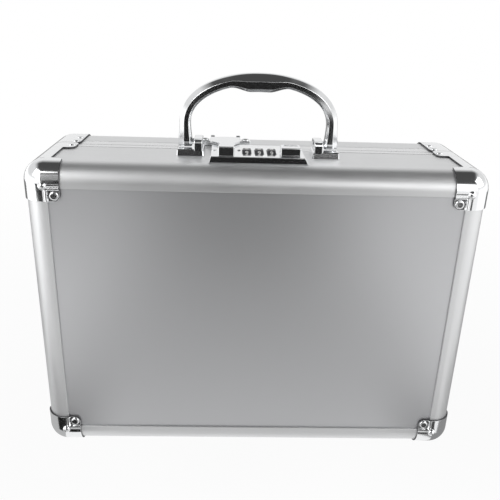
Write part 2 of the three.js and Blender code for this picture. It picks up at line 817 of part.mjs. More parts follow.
function addUndercase() {
  const left = UNDERCASE_MARGIN - LOCK_LEFT;
  const right = LOCK_RIGHT - LOCK_SLOPE - UNDERCASE_MARGIN;
  const front = LOCK_FRONT + UNDERCASE_MARGIN;
  const rear = LOCK_REAR - UNDERCASE_MARGIN;
  const bottom = TOP - UNDERCASE_DEPTH;
  const wall = UNDERCASE_WALL;
  const floor = bottom + wall;
  const tray = cut(
    block(left, right, front, rear, bottom, TOP - WALL - FIT),
    block(left + wall, right - wall, front + wall, rear - wall, floor, TOP + OVERRUN),
  );
  const halfPost = AXLE_POST_WIDTH / 2;
  const sunk = floor - wall / 2;
  const posts = postSpans().map(([from, to]) =>
    block(from, to, DIAL_Y - halfPost, DIAL_Y + halfPost, sunk, DIAL_Z + AXLE_POST_RISE),
  );
  const lugX = SPRING_LEFT_X + SPRING_LENGTH + 2 * FIT;
  const y = springY();
  const lug = block(
    lugX,
    lugX + LUG_THICKNESS,
    y - SPRING_RADIUS,
    y + SPRING_RADIUS,
    sunk,
    TOP + LUG_HEIGHT / 2 + BOLT_ABOVE_CASE,
  );
  const axleHole = rod(
    "x",
    AXLE_RADIUS + FIT,
    -OVERRUN,
    OVERRUN,
    DIAL_Y,
    DIAL_Z,
    SMALL_FACETS,
  );
  piece("lock_undercase", cut(join(tray, ...posts, lug), axleHole), darkSteel);
}

function addDials() {
  const [first, last] = postSpans();
  const axle = rod("x", AXLE_RADIUS, first[0], last[1], DIAL_Y, DIAL_Z, SMALL_FACETS);
  piece("dial_axle", axle, darkSteel);
  const half = DIAL_WIDTH / 2;
  const profile = [
    new THREE.Vector2(DIAL_BORE_RADIUS, -half),
    new THREE.Vector2(DIAL_RADIUS - DIAL_EDGE, -half),
    new THREE.Vector2(DIAL_RADIUS, DIAL_EDGE - half),
    new THREE.Vector2(DIAL_RADIUS, half - DIAL_EDGE),
    new THREE.Vector2(DIAL_RADIUS - DIAL_EDGE, half),
    new THREE.Vector2(DIAL_BORE_RADIUS, half),
    new THREE.Vector2(DIAL_BORE_RADIUS, -half),
  ];
  const wheel = solid(new THREE.LatheGeometry(profile, DIAL_FACETS).rotateZ(-Math.PI / 2));
  dialCentres().forEach((x, i) => {
    piece(`dial_${i + 1}`, moved(wheel, x, DIAL_Y, DIAL_Z), blackPlastic);
  });
}

// The button stands on the plate, and its stem reaches down to the bolt.
function addSlide() {
  const stem = stemPlace();
  const under = LOCK_TOP + RUN;
  const front = stem.y - BUTTON_LENGTH / 2;
  const rear = stem.y + BUTTON_LENGTH / 2;
  const top = under + BUTTON_HEIGHT;
  const outline = [
    new THREE.Vector2(front, under),
    new THREE.Vector2(rear, under),
    new THREE.Vector2(rear, top - BUTTON_BEVEL),
    new THREE.Vector2(rear - BUTTON_BEVEL, top),
    new THREE.Vector2(front + BUTTON_BEVEL, top),
    new THREE.Vector2(front, top - BUTTON_BEVEL),
  ];
  const boltBottom = TOP + BOLT_ABOVE_CASE;
  const boltTop = boltBottom + BOLT_THICKNESS;
  const body = join(
    prism("x", outline, BUTTON_X, BUTTON_X + BUTTON_WIDTH),
    block(
      stem.x - STEM_WIDTH / 2,
      stem.x + STEM_WIDTH / 2,
      stem.y - STEM_LENGTH / 2,
      stem.y + STEM_LENGTH / 2,
      boltTop + FIT,
      under + BUTTON_BEVEL,
    ),
  );
  piece("slide_button", body, chrome);

  const barFront = DIAL_Y + DIAL_RADIUS + RUN;
  const barRear = barFront + BOLT_BAR_WIDTH;
  const plateLeft = stem.x - BOLT_PLATE_WIDTH / 2;
  const plateRight = stem.x + BOLT_PLATE_WIDTH / 2;
  const lugLow = boltBottom + BOLT_THICKNESS / 2 - LUG_HEIGHT / 2;
  const bolt = join(
    block(BOLT_NUB_CLEARANCE - NUB_RIGHT, plateRight, barFront, barRear, boltBottom, boltTop),
    block(plateLeft, plateRight, stem.y - STEM_LENGTH / 2, barRear, boltBottom, boltTop),
    block(
      SPRING_LEFT_X - FIT - LUG_THICKNESS,
      SPRING_LEFT_X - FIT,
      barRear - FIT,
      barRear - FIT + LUG_WIDTH,
      lugLow,
      lugLow + LUG_HEIGHT,
    ),
  );
  piece("latch_bolt", bolt, darkSteel);
}

// A helix along x: its angle grows evenly with its length.
class Helix extends THREE.Curve {
  getPoint(share) {
    const angle = 2 * Math.PI * SPRING_CURLS * share;
    const radius = SPRING_RADIUS - SPRING_WIRE_RADIUS;
    const along = SPRING_LENGTH - 2 * SPRING_WIRE_RADIUS;
    return new THREE.Vector3(
      SPRING_WIRE_RADIUS + along * share,
      radius * Math.cos(angle),
      radius * Math.sin(angle),
    );
  }
}

const CURL_STEPS = 7;
const WIRE_SIDES = 5;

function addSpring() {
  const wire = [];
  for (let i = 0; i < WIRE_SIDES; i += 1) {
    const angle = (2 * Math.PI * i) / WIRE_SIDES;
    const across = SPRING_WIRE_RADIUS * Math.cos(angle);
    wire.push(new THREE.Vector2(across, SPRING_WIRE_RADIUS * Math.sin(angle)));
  }
  const geometry = new THREE.ExtrudeGeometry(new THREE.Shape(wire), {
    steps: SPRING_CURLS * CURL_STEPS,
    extrudePath: new Helix(),
    bevelEnabled: false,
  });
  const z = TOP + BOLT_ABOVE_CASE + BOLT_THICKNESS / 2;
  piece("slide_spring", moved(solid(geometry), SPRING_LEFT_X, springY(), z), darkSteel);
}

function addResetPin() {
  const high = LOCK_TOP + RESET_PIN_PROUD;
  const low = high - RESET_PIN_LENGTH;
  const body = rod("z", RESET_PIN_RADIUS, low, high, RESET_PIN_X, resetPinY(), SMALL_FACETS);
  piece("reset_pin", body, darkSteel);
}

// Hasp on the lid
function addHaspBlock() {
  const front = SEAM_Y + HASP_BLOCK_FROM_SEAM;
  const rear = front + HASP_BLOCK_LENGTH;
  const notchLeft = HASP_EAR_WIDTH - HASP_BARREL_LEFT;
  const notchRight = -HASP_BARREL_RIGHT - HASP_EAR_WIDTH;
  const notchLow = HASP_AXIS_Z - HASP_BARREL_RADIUS - RUN;
  const ears = [[-HASP_BARREL_LEFT, notchLeft], [notchRight, -HASP_BARREL_RIGHT]];
  const low = TOP + FIT;
  const middle = TOP + HASP_BLOCK_HEIGHT / 2;
  const body = join(
    cut(
      block(-HASP_BLOCK_LEFT, -HASP_BLOCK_RIGHT, front, rear, low, TOP + HASP_BLOCK_HEIGHT),
      block(notchLeft, notchRight, front - OVERRUN, rear + OVERRUN, notchLow, TOP + OVERRUN),
    ),
    ...ears.flatMap(([from, to]) => [
      rod("x", HASP_EAR_RADIUS, from, to, HASP_AXIS_Y, HASP_AXIS_Z, BARREL_FACETS),
      block(
        from,
        to,
        HASP_AXIS_Y - HASP_EAR_RADIUS,
        HASP_AXIS_Y + HASP_EAR_RADIUS,
        middle,
        HASP_AXIS_Z,
      ),
    ]),
  );
  const bore = HASP_PIN_RADIUS + FIT;
  const hole = rod("x", bore, -OVERRUN, OVERRUN, HASP_AXIS_Y, HASP_AXIS_Z, SMALL_FACETS);
  piece("hasp_block", cut(body, hole), chrome);
  const pin = rod(
    "x",
    HASP_PIN_RADIUS,
    ears[0][0],
    ears[1][1],
    HASP_AXIS_Y,
    HASP_AXIS_Z,
    SMALL_FACETS,
  );
  piece("hasp_pin", pin, darkSteel);
  const head = dome(HASP_RIVET_RADIUS, HASP_RIVET_HEIGHT);
  const y = rear - HASP_RIVET_FROM_REAR;
  const z = TOP + HASP_BLOCK_HEIGHT + FIT;
  piece("hasp_rivet_left", moved(head, HASP_RIVET_INSET - HASP_BLOCK_LEFT, y, z), chrome);
  piece("hasp_rivet_right", moved(head, -HASP_RIVET_INSET - HASP_BLOCK_RIGHT, y, z), chrome);
}

// The tongue's side view: it leaves the barrel's top, runs level and swells into a nose.
function tongueOutline() {
  const tip = TONGUE_TIP_Y;
  const under = TONGUE_UNDER;
  const noseTop = under + TONGUE_NOSE_HEIGHT;
  const sheetTop = under + TONGUE_THICKNESS;
  const noseRear = tip + TONGUE_NOSE_LENGTH;
  const swellRear = noseRear + TONGUE_NOSE_LENGTH;
  return [
    new THREE.Vector2(HASP_AXIS_Y, HASP_AXIS_Z),
    new THREE.Vector2(HASP_AXIS_Y, HASP_AXIS_Z + HASP_BARREL_RADIUS),
    new THREE.Vector2(HASP_AXIS_Y - HASP_BARREL_RADIUS, sheetTop + FIT),
    new THREE.Vector2(swellRear + TONGUE_NOSE_LENGTH, sheetTop),
    new THREE.Vector2(swellRear, sheetTop + (noseTop - sheetTop) / 3),
    new THREE.Vector2(noseRear, noseTop),
    new THREE.Vector2(tip + TONGUE_NOSE_ROUND, noseTop),
    new THREE.Vector2(tip, noseTop - TONGUE_NOSE_ROUND),
    new THREE.Vector2(tip, under),
    new THREE.Vector2(HASP_AXIS_Y - HASP_BARREL_RADIUS, under),
  ];
}

function addTongue() {
  const shoulderY = HASP_AXIS_Y - TONGUE_SHOULDER;
  const earFront = HASP_AXIS_Y - HASP_EAR_RADIUS - RUN;
  const knuckleLeft = HASP_EAR_WIDTH + RUN - HASP_BARREL_LEFT;
  const knuckleRight = -HASP_BARREL_RIGHT - HASP_EAR_WIDTH - RUN;
  const outline = tongueOutline();
  const narrow = prism("x", outline, -TONGUE_LEFT, -TONGUE_RIGHT);
  const wide = cut(
    prism("x", outline, -HASP_BARREL_LEFT, -HASP_BARREL_RIGHT),
    block(-OVERRUN, OVERRUN, shoulderY - OVERRUN, shoulderY, TOP, TOP + OVERRUN),
    block(-OVERRUN, knuckleLeft, earFront, OVERRUN, TOP, TOP + OVERRUN),
    block(knuckleRight, OVERRUN, earFront, OVERRUN, TOP, TOP + OVERRUN),
  );
  const rear = nubRear();
  const body = join(
    narrow,
    wide,
    rod(
      "x",
      HASP_BARREL_RADIUS,
      knuckleLeft,
      knuckleRight,
      HASP_AXIS_Y,
      HASP_AXIS_Z,
      BARREL_FACETS,
    ),
    block(
      -NUB_LEFT,
      -NUB_RIGHT,
      rear - NUB_LENGTH,
      rear,
      TONGUE_UNDER - NUB_DEPTH,
      TONGUE_UNDER + TONGUE_THICKNESS / 2,
    ),
  );
  const bore = HASP_PIN_RADIUS + FIT;
  const hole = rod("x", bore, -OVERRUN, OVERRUN, HASP_AXIS_Y, HASP_AXIS_Z, SMALL_FACETS);
  piece("hasp_tongue", cut(body, hole), chrome);
}

// Handle: eight-sided rings along a line of two legs, two round corners and a level crown.
const LEG_RINGS = 2;
const CORNER_RINGS = 6;
const CROWN_RINGS = 4;

function handleStations() {
  const foot = HANDLE_PIVOT_Z;
  const legTop = TOP + HANDLE_LEG_TOP;
  const crownZ = TOP + HANDLE_CROWN_HEIGHT;
  const cornerWidth = HANDLE_HALF_WIDTH - HANDLE_CROWN_HALF;
  const cornerHeight = crownZ - legTop;
  const half = [];
  for (let i = 0; i < LEG_RINGS; i += 1) {
    const share = i / LEG_RINGS;
    half.push({
      x: HANDLE_HALF_WIDTH,
      z: foot + share * (legTop - foot),
      turn: 0,
      thickness: THREE.MathUtils.lerp(HANDLE_FOOT_THICKNESS, HANDLE_LEG_THICKNESS, share),
      depth: HANDLE_LEG_DEPTH,
    });
  }
  for (let i = 0; i < CORNER_RINGS; i += 1) {
    const share = i / CORNER_RINGS;
    const angle = (share * Math.PI) / 2;
    const slope = Math.atan2(
      cornerWidth * Math.sin(angle),
      cornerHeight * Math.cos(angle),
    );
    half.push({
      x: HANDLE_CROWN_HALF + cornerWidth * Math.cos(angle),
      z: legTop + cornerHeight * Math.sin(angle),
      turn: slope,
      thickness: HANDLE_LEG_THICKNESS,
      depth: THREE.MathUtils.lerp(HANDLE_LEG_DEPTH, HANDLE_GRIP_DEPTH, share),
    });
  }
  for (let i = 0; i <= CROWN_RINGS; i += 1) {
    const share = i / CROWN_RINGS;
    half.push({
      x: HANDLE_CROWN_HALF * (1 - share),
      z: crownZ,
      turn: Math.PI / 2,
      thickness: THREE.MathUtils.lerp(HANDLE_LEG_THICKNESS, HANDLE_GRIP_THICKNESS, share),
      depth: HANDLE_GRIP_DEPTH,
    });
  }
  const other = half
    .slice(0, -1)
    .reverse()
    .map((station) => ({ ...station, x: -station.x, turn: Math.PI - station.turn }));
  return [...half, ...other];
}

function handleRing({ x, z, turn, thickness, depth }) {
  const out = thickness / 2;
  const deep = depth / 2;
  const flatOut = out - HANDLE_BEVEL;
  const flatDeep = deep - HANDLE_BEVEL;
  const corners = [
    [out, -flatDeep],
    [out, flatDeep],
    [flatOut, deep],
    [-flatOut, deep],
    [-out, flatDeep],
    [-out, -flatDeep],
    [-flatOut, -deep],
    [flatOut, -deep],
  ];
  return corners.map(
    ([away, y]) =>
      new THREE.Vector3(
        x + away * Math.cos(turn),
        HANDLE_PIVOT_Y + y,
        z + away * Math.sin(turn),
      ),
  );
}

function loft(rings) {
  const sides = rings[0].length;
  const points = rings.flat().flatMap((point) => [point.x, point.y, point.z]);
  const index = [];
  for (let r = 0; r + 1 < rings.length; r += 1) {
    for (let i = 0; i < sides; i += 1) {
      const a = r * sides + i;
      const b = r * sides + ((i + 1) % sides);
      index.push(a, b, b + sides, a, b + sides, a + sides);
    }
  }
  const last = (rings.length - 1) * sides;
  for (let i = 1; i + 1 < sides; i += 1) {
    index.push(0, i + 1, i, last, last + i, last + i + 1);
  }
  const geometry = new THREE.BufferGeometry();
  geometry.setAttribute("position", new THREE.Float32BufferAttribute(points, 3));
  geometry.setIndex(index);
  return solid(geometry);
}

function addHandle() {
  const inner = HANDLE_HALF_WIDTH - HANDLE_EYE_WIDTH / 2;
  const outer = HANDLE_HALF_WIDTH + HANDLE_EYE_WIDTH / 2;
  const eye = rod(
    "x",
    HANDLE_EYE_RADIUS,
    inner,
    outer,
    HANDLE_PIVOT_Y,
    HANDLE_PIVOT_Z,
    BARREL_FACETS,
  );
  const bore = rod(
    "x",
    HANDLE_PIN_RADIUS + FIT,
    inner - HANDLE_EYE_WIDTH,
    inner + HANDLE_BORE_DEPTH,
    HANDLE_PIVOT_Y,
    HANDLE_PIVOT_Z,
    SMALL_FACETS,
  );
  const arch = loft(handleStations().map(handleRing));
  const body = cut(
    join(arch, eye, mirrored(eye, -1, 1, 1)),
    bore,
    mirrored(bore, -1, 1, 1),
  );
  piece("handle", body, chrome);

  const postOuter = inner - BRACKET_EYE_GAP;
  const postInner = postOuter - POST_WIDTH;
  const bracketInner = postInner - POST_INSET;
  const front = BRACKET_REAR_Y - BRACKET_LENGTH;
  const plateTop = TOP + BRACKET_HEIGHT;
  const post = [
    new THREE.Vector2(front + POST_INSET, plateTop - POST_INSET),
    new THREE.Vector2(BRACKET_REAR_Y - POST_INSET, plateTop - POST_INSET),
    ...smallQuarter(
      BRACKET_REAR_Y - POST_INSET - POST_ROUND,
      TOP + POST_TOP - POST_ROUND,
      POST_ROUND,
      0,
    ),
    ...smallQuarter(
      front + POST_INSET + POST_ROUND,
      TOP + POST_TOP - POST_ROUND,
      POST_ROUND,
      Math.PI / 2,
    ),
  ];
  const seat = rod(
    "x",
    HANDLE_PIN_RADIUS + FIT,
    postInner + POST_INSET,
    postOuter + OVERRUN,
    HANDLE_PIVOT_Y,
    HANDLE_PIVOT_Z,
    SMALL_FACETS,
  );
  const bracket = cut(
    join(
      block(
        bracketInner,
        bracketInner + BRACKET_WIDTH,
        front,
        BRACKET_REAR_Y,
        TOP + FIT,
        plateTop,
      ),
      prism("x", post, postInner, postOuter),
    ),
    seat,
  );
  const pin = rod(
    "x",
    HANDLE_PIN_RADIUS,
    postInner + POST_INSET + FIT,
    inner + HANDLE_BORE_DEPTH - RUN,
    HANDLE_PIVOT_Y,
    HANDLE_PIVOT_Z,
    SMALL_FACETS,
  );
  piece("handle_bracket_right", bracket, chrome);
  piece("handle_bracket_left", mirrored(bracket, -1, 1, 1), chrome);
  piece("handle_pin_right", pin, darkSteel);
  piece("handle_pin_left", mirrored(pin, -1, 1, 1), darkSteel);
}

addProfiles("base", BASE_DEPTH - BASE_RIM_WIDTH, -1);
addProfiles("lid", LID_DEPTH - LID_RIM_WIDTH, 1);
addPanel("base", -1);
addPanel("lid", 1);
addRim("base", BASE_RIM_WIDTH, -1);
addRim("lid", LID_RIM_WIDTH, 1);
addLiner("base", -1);
addLiner("lid", 1);
addDividers();
addFeet();
addCovers();
addHinges();
addLockPlate();
addUndercase();
addDials();
addSlide();
addSpring();
addResetPin();
addHaspBlock();
addTongue();
addHandle();

export default model;
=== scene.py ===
"""Studio scene of a lockable aluminium case with chrome corners, a carrying handle and a combination lock.

Everything is in metres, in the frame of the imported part: +X is the viewer's right, +Y points away from the
viewer and +Z points up. The base faces the viewer, and the lid is behind the seam.
"""

import json
import logging
import math
from collections.abc import Callable, Sequence
from dataclasses import dataclass, replace
from enum import Enum

import bmesh
import bpy
import numpy as np
from mathutils import Euler, Matrix, Vector


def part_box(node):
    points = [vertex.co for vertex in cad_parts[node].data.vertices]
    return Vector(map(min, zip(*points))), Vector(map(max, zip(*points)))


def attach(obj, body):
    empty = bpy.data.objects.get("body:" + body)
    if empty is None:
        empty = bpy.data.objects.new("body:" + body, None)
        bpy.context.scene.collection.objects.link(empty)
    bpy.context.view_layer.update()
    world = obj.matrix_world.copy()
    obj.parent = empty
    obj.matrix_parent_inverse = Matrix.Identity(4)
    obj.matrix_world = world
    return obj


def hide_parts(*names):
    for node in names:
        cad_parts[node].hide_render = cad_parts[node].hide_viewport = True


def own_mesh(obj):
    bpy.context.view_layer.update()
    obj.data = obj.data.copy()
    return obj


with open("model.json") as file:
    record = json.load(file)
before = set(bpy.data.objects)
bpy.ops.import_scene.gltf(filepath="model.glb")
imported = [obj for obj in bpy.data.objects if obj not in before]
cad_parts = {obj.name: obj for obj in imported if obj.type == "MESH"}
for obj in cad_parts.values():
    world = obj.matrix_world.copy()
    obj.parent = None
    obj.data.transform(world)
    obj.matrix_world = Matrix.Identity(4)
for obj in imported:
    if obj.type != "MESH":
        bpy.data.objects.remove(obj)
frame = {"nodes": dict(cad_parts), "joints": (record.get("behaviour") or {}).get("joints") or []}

MM = 0.001
WELD = 0.0005 * MM
FLOAT = "NodeSocketFloat"
VECTOR = "NodeSocketVector"
WHITE = (1, 1, 1, 1)

Pair = tuple[float, float]
Colour = tuple[float, float, float]
Numbers = np.ndarray | float
Socket = bpy.types.NodeSocket

log = logging.getLogger("lock_box")


class Axis(Enum):
    """A direction of the shared frame, with its place in a point."""

    X = 0
    Y = 1
    Z = 2


class Body(Enum):
    """The rigid bodies that pieces ride on."""

    BASE = "base"
    LID = "lid"
    HASP = "hasp"
    HANDLE = "handle"
    DIAL_LEFT = "dial_left"
    DIAL_MIDDLE = "dial_middle"
    DIAL_RIGHT = "dial_right"
    SLIDE = "slide"
    RESET = "reset"


class Along(Enum):
    """The run of a metal's fine lines, as the stretch of its grain on each axis."""

    X = (0.03, 1.0, 1.0)
    Z = (1.0, 1.0, 0.03)
    NONE = (1.0, 1.0, 1.0)


# Spans


@dataclass(frozen=True)
class Box:
    """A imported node's span on each axis at rest."""

    x: Pair
    y: Pair
    z: Pair


def box(node: str) -> Box:
    """Reads a node's box."""
    return Box(*zip(*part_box(node)))


def mid(span: Pair) -> float:
    """Middle of a span."""
    return (span[0] + span[1]) / 2


def half_of(span: Pair) -> float:
    """Half a span's length."""
    return (span[1] - span[0]) / 2


def around(centre: float, reach: float) -> Pair:
    """Span that reaches as far to both sides of its centre."""
    return centre - reach, centre + reach


def grown(span: Pair, by: float) -> Pair:
    """Span with both ends moved out."""
    return span[0] - by, span[1] + by


def joint_point(name: str) -> Vector:
    """The point that a joint turns about."""
    return Vector(next(joint for joint in frame["joints"] if joint["name"] == name)["pos_m"])


# Shapes

# Turns of the steps in a rim's quarter round
QUARTER = np.linspace(0, np.pi / 2, 5)


@dataclass(frozen=True)
class Shape:
    """Points, as rows of x, y and z, and faces, as corner numbers, of one or more surfaces."""

    points: np.ndarray
    faces: list[list[int]]

    def __add__(self, other: "Shape") -> "Shape":
        """Both surfaces side by side in one shape."""
        more = [[corner + len(self.points) for corner in face] for face in other.faces]
        return Shape(np.concatenate([self.points, other.points]), self.faces + more)

    def moved(self, *by: float) -> "Shape":
        """The shape shifted by x, y and z."""
        return Shape(self.points + np.array(by), self.faces)

    def flipped(self) -> "Shape":
        """The shape with its faces turned over."""
        return Shape(self.points, [face[::-1] for face in self.faces])

    def mirrored(self, axis: Axis, about: float = 0.0) -> "Shape":
        """The shape's mirror image across the plane at that place on the axis."""
        chosen = np.arange(3) == axis.value
        return Shape(np.where(chosen, 2 * about - self.points, self.points), self.faces).flipped()

    def turned(self, axis: Axis, degrees: float) -> "Shape":
        """The shape turned about an axis through the origin."""
        turn = np.array(Matrix.Rotation(math.radians(degrees), 3, axis.name))
        return Shape(self.points @ turn.T, self.faces)


def together(shapes: Sequence[Shape]) -> Shape:
    """All the shapes in one."""
    return sum(shapes[1:], shapes[0])


def surface(
    points: np.ndarray, wrap_rows: bool = False, wrap_columns: bool = True, capped: bool = True
) -> Shape:
    """Makes faces between neighbouring points of a grid.

    Args:
        points: Array of rows by columns by three.
        wrap_rows: Whether the last row meets the first.
        wrap_columns: Whether each row closes on itself.
        capped: Whether the first and the last row are filled.

    Returns:
        The surface.
    """
    rows, columns = points.shape[:2]
    index = np.arange(rows * columns).reshape(rows, columns)
    caps = [index[0, ::-1].tolist(), index[-1].tolist()] if capped and not wrap_rows else []
    if wrap_rows:
        index = np.vstack([index, index[:1]])
    if wrap_columns:
        index = np.hstack([index, index[:, :1]])
    quads = np.stack([index[:-1, :-1], index[:-1, 1:], index[1:, 1:], index[1:, :-1]], axis=-1)
    return Shape(points.reshape(-1, 3), quads.reshape(-1, 4).tolist() + caps)


def sheet(points: np.ndarray) -> Shape:
    """Open surface through a grid of points."""
    return surface(points, False, False, False)


def slab(front: np.ndarray, back: np.ndarray) -> Shape:
    """Closes the room between two grids of the same size with walls around their rims.

    Args:
        front: Grid whose faces point as they are.
        back: Grid on the other side.

    Returns:
        The closed plate.
    """
    index = np.arange(front[..., 0].size).reshape(front.shape[:2])
    rim = np.concatenate([index[0, :-1], index[:-1, -1], index[-1, :0:-1], index[:0:-1, 0]])
    after = np.roll(rim, -1)
    both = sheet(front) + sheet(back).flipped()
    walls = np.stack([rim, rim + index.size, after + index.size, after], axis=1)
    return Shape(both.points, both.faces + walls.tolist())


def unit(vectors: np.ndarray) -> np.ndarray:
    """Vectors of length 1 in the same directions."""
    return vectors / np.linalg.norm(vectors, axis=-1, keepdims=True)


def stacked(*parts: Numbers) -> np.ndarray:
    """Points from their coordinates, which are spread to one common form."""
    return np.stack(np.broadcast_arrays(*parts), axis=-1)


def rounded(
    corners: Sequence[Sequence[float]], radii: float | Sequence[float], steps: int = 5
) -> np.ndarray:
    """Outline with each corner replaced by an arc that touches both of its sides.

    An arc's points are weighted sums of its first and last radius, with sines of the turn as weights.

    Args:
        corners: The corners in order, anticlockwise.
        radii: One radius for all, or one for each corner.
        steps: Parts of each arc.

    Returns:
        Array of outline points, two numbers each.
    """
    corner = np.asarray(corners, float)
    radius = np.broadcast_to(np.asarray(radii, float), len(corner))[:, None]
    before = unit(np.roll(corner, 1, axis=0) - corner)
    after = unit(np.roll(corner, -1, axis=0) - corner)
    half = 0.5 * np.arccos(np.clip((before * after).sum(axis=1, keepdims=True), -1, 1))
    centre = corner + unit(before + after) * radius / np.sin(half)
    first = corner + before * radius / np.tan(half) - centre
    last = corner + after * radius / np.tan(half) - centre
    turn = np.pi - 2 * half
    share = np.linspace(0, 1, steps + 1)[None]
    ease_in = (np.sin((1 - share) * turn) / np.sin(turn))[..., None]
    ease_out = (np.sin(share * turn) / np.sin(turn))[..., None]
    outline = (centre[:, None] + first[:, None] * ease_in + last[:, None] * ease_out).reshape(-1, 2)
    gap = np.linalg.norm(outline - np.roll(outline, 1, axis=0), axis=1)
    return outline[gap > WELD]


def rectangle(across: Pair, up: Pair, radius: float, steps: int = 5) -> np.ndarray:
    """Rounded rectangle as an anticlockwise outline."""
    corners = [(across[0], up[0]), (across[1], up[0]), (across[1], up[1]), (across[0], up[1])]
    return rounded(corners, radius, steps)


def inset(outline: np.ndarray, distance: float) -> np.ndarray:
    """Draws an outline in: each point moves along the mitre of its two sides' normals.

    Args:
        outline: Anticlockwise outline.
        distance: How far each side moves.

    Returns:
        The new outline.
    """
    side = unit(np.roll(outline, -1, axis=0) - outline)
    inward = np.column_stack([-side[:, 1], side[:, 0]])
    before = np.roll(inward, 1, axis=0)
    mitre = (inward + before) / (1 + (inward * before).sum(axis=1, keepdims=True))
    return outline + distance * mitre


def carry(outline: np.ndarray, stations: Sequence[Pair], axis: Axis, closed: bool = False) -> Shape:
    """Carries an outline along an axis and draws it in or out at each station.

    Args:
        outline: Anticlockwise outline across the axis.
        stations: Inset and place on the axis of each station.
        axis: The axis that the outline is carried along.
        closed: Whether the last station meets the first, as in a ring.

    Returns:
        The surface, capped at both ends unless it is a ring.
    """
    rings = [np.insert(inset(outline, draw), axis.value, place, axis=1) for draw, place in stations]
    return surface(np.stack(rings), wrap_rows=closed)


def prism(outline: np.ndarray, axis: Axis, span: Pair, edge: float = 0.0) -> Shape:
    """Makes a bar with quarter-round rims: they draw in by the sine and rise by the cosine of the turn.

    Args:
        outline: Its section, anticlockwise.
        axis: The axis that it lies along.
        span: Its ends there.
        edge: Radius of its rims.

    Returns:
        The closed bar.
    """
    low, high = span
    if not edge:
        return carry(outline, [(0, low), (0, high)], axis)
    draw = edge * (1 - np.sin(QUARTER))
    rise = edge * (1 - np.cos(QUARTER))
    places = np.concatenate([low + rise, high - rise[::-1]])
    return carry(outline, np.column_stack([np.append(draw, draw[::-1]), places]), axis)


def block(x: Pair, y: Pair, z: Pair, corner: float = 0.0, edge: float = 0.0) -> Shape:
    """Box between three pairs of places, with its upright corners and its rims rounded."""
    return prism(rectangle(x, y, corner), Axis.Z, z, edge)


def revolve(profile: np.ndarray, axis: Axis, centre: Pair, segments: int = 48) -> Shape:
    """Turns a profile around an axis: radius times cosine and sine of the turn, at the profile's place.

    Args:
        profile: Rows of radius and place on the axis, which start and end on the axis.
        axis: The axis of the turn.
        centre: The axis' place on the other two axes.
        segments: Steps around.

    Returns:
        The closed surface.
    """
    angle = np.linspace(0, 2 * np.pi, segments, endpoint=False)[None]
    radius = profile[:, :1]
    parts = [centre[0] + radius * np.cos(angle), centre[1] + radius * np.sin(angle)]
    parts.insert(axis.value, np.broadcast_to(profile[:, 1:], parts[0].shape))
    return surface(np.stack(parts, axis=-1), capped=False)


def rod(axis: Axis, radius: float, span: Pair, centre: Pair, edge: float = 0.0) -> Shape:
    """Makes a round bar with quarter-round rims, as a turned profile.

    Args:
        axis: The axis that it lies along.
        radius: Its radius.
        span: Its ends on the axis.
        centre: Its place on the other two axes.
        edge: Radius of its rims.

    Returns:
        The closed bar.
    """
    rim = np.column_stack([radius - edge + edge * np.sin(QUARTER), edge * (1 - np.cos(QUARTER))])
    start = rim + [0, span[0]]
    end = rim[::-1] * [1, -1] + [0, span[1]]
    return revolve(np.concatenate([[[0, span[0]]], start, end, [[0, span[1]]]]), axis, centre)


def dome(radius: float, height: float, flat: float = 0.0) -> Shape:
    """Rivet head on z = 0 that faces up: a short flange, an ellipse's quarter and a flat middle.

    Args:
        radius: Radius of the head.
        height: Height of the crown.
        flat: Share of the radius that is flat.

    Returns:
        The closed head.
    """
    flange_share, rim_share = 0.12, 0.94
    angle = np.linspace(0, np.pi / 2, 11)
    lift = flange_share * height
    out = radius * (flat + (1 - flat) * np.cos(angle))
    crown = np.column_stack([out, lift + (height - lift) * np.sin(angle)])
    if flat:
        crown = np.append(crown, [[rim_share * flat * radius, height], [0, height]], axis=0)
    return revolve(np.concatenate([[[0, 0], [radius, 0]], crown]), Axis.Z, (0, 0), segments=40)


# Meshes and objects


def linked(name: str, data: bpy.types.ID) -> bpy.types.Object:
    """Adds an object to the scene.

    Args:
        name: Its name.
        data: What it holds.

    Returns:
        The object.
    """
    made = bpy.data.objects.new(name, data)
    bpy.context.scene.collection.objects.link(made)
    return made


def mesh_of(name: str, shape: Shape, closed: bool = True) -> bpy.types.Mesh:
    """Puts a shape into a mesh, merges its doubles and turns its faces outwards.

    Args:
        name: Name of the mesh.
        shape: What it holds.
        closed: Whether the shape is closed. An open sheet keeps the side that its faces point to.

    Returns:
        The mesh.
    """
    mesh = bpy.data.meshes.new(name)
    mesh.from_pydata(shape.points.tolist(), [], shape.faces)
    work = bmesh.new()
    work.from_mesh(mesh)
    bmesh.ops.remove_doubles(work, verts=work.verts, dist=WELD)
    bmesh.ops.dissolve_degenerate(work, edges=work.edges, dist=WELD)
    if closed:
        bmesh.ops.recalc_face_normals(work, faces=work.faces)
    work.to_mesh(mesh)
    work.free()
    return mesh


def evaluated(holder: bpy.types.Object, name: str) -> bpy.types.Mesh:
    """Applies an object's modifiers and removes the object.

    Args:
        holder: The object.
        name: Name of the new mesh.

    Returns:
        The mesh.
    """
    graph = bpy.context.evaluated_depsgraph_get()
    mesh = bpy.data.meshes.new_from_object(holder.evaluated_get(graph), depsgraph=graph)
    mesh.name = name
    bpy.data.objects.remove(holder)
    return mesh


def carved(mesh: bpy.types.Mesh, cutters: Sequence[Shape]) -> bpy.types.Mesh:
    """Cuts closed shapes out of a mesh, one after the other.

    Args:
        mesh: The closed mesh.
        cutters: What is taken away.

    Returns:
        What is left.
    """
    for cutter in cutters:
        tool = linked("cutter", mesh_of("cutter", cutter))
        work = linked("work", mesh)
        cut = work.modifiers.new("cut", "BOOLEAN")
        cut.operation = "DIFFERENCE"
        cut.solver = "EXACT"
        cut.object = tool
        mesh = evaluated(work, mesh.name)
        bpy.data.objects.remove(tool)
    return mesh


# Node groups and finishes


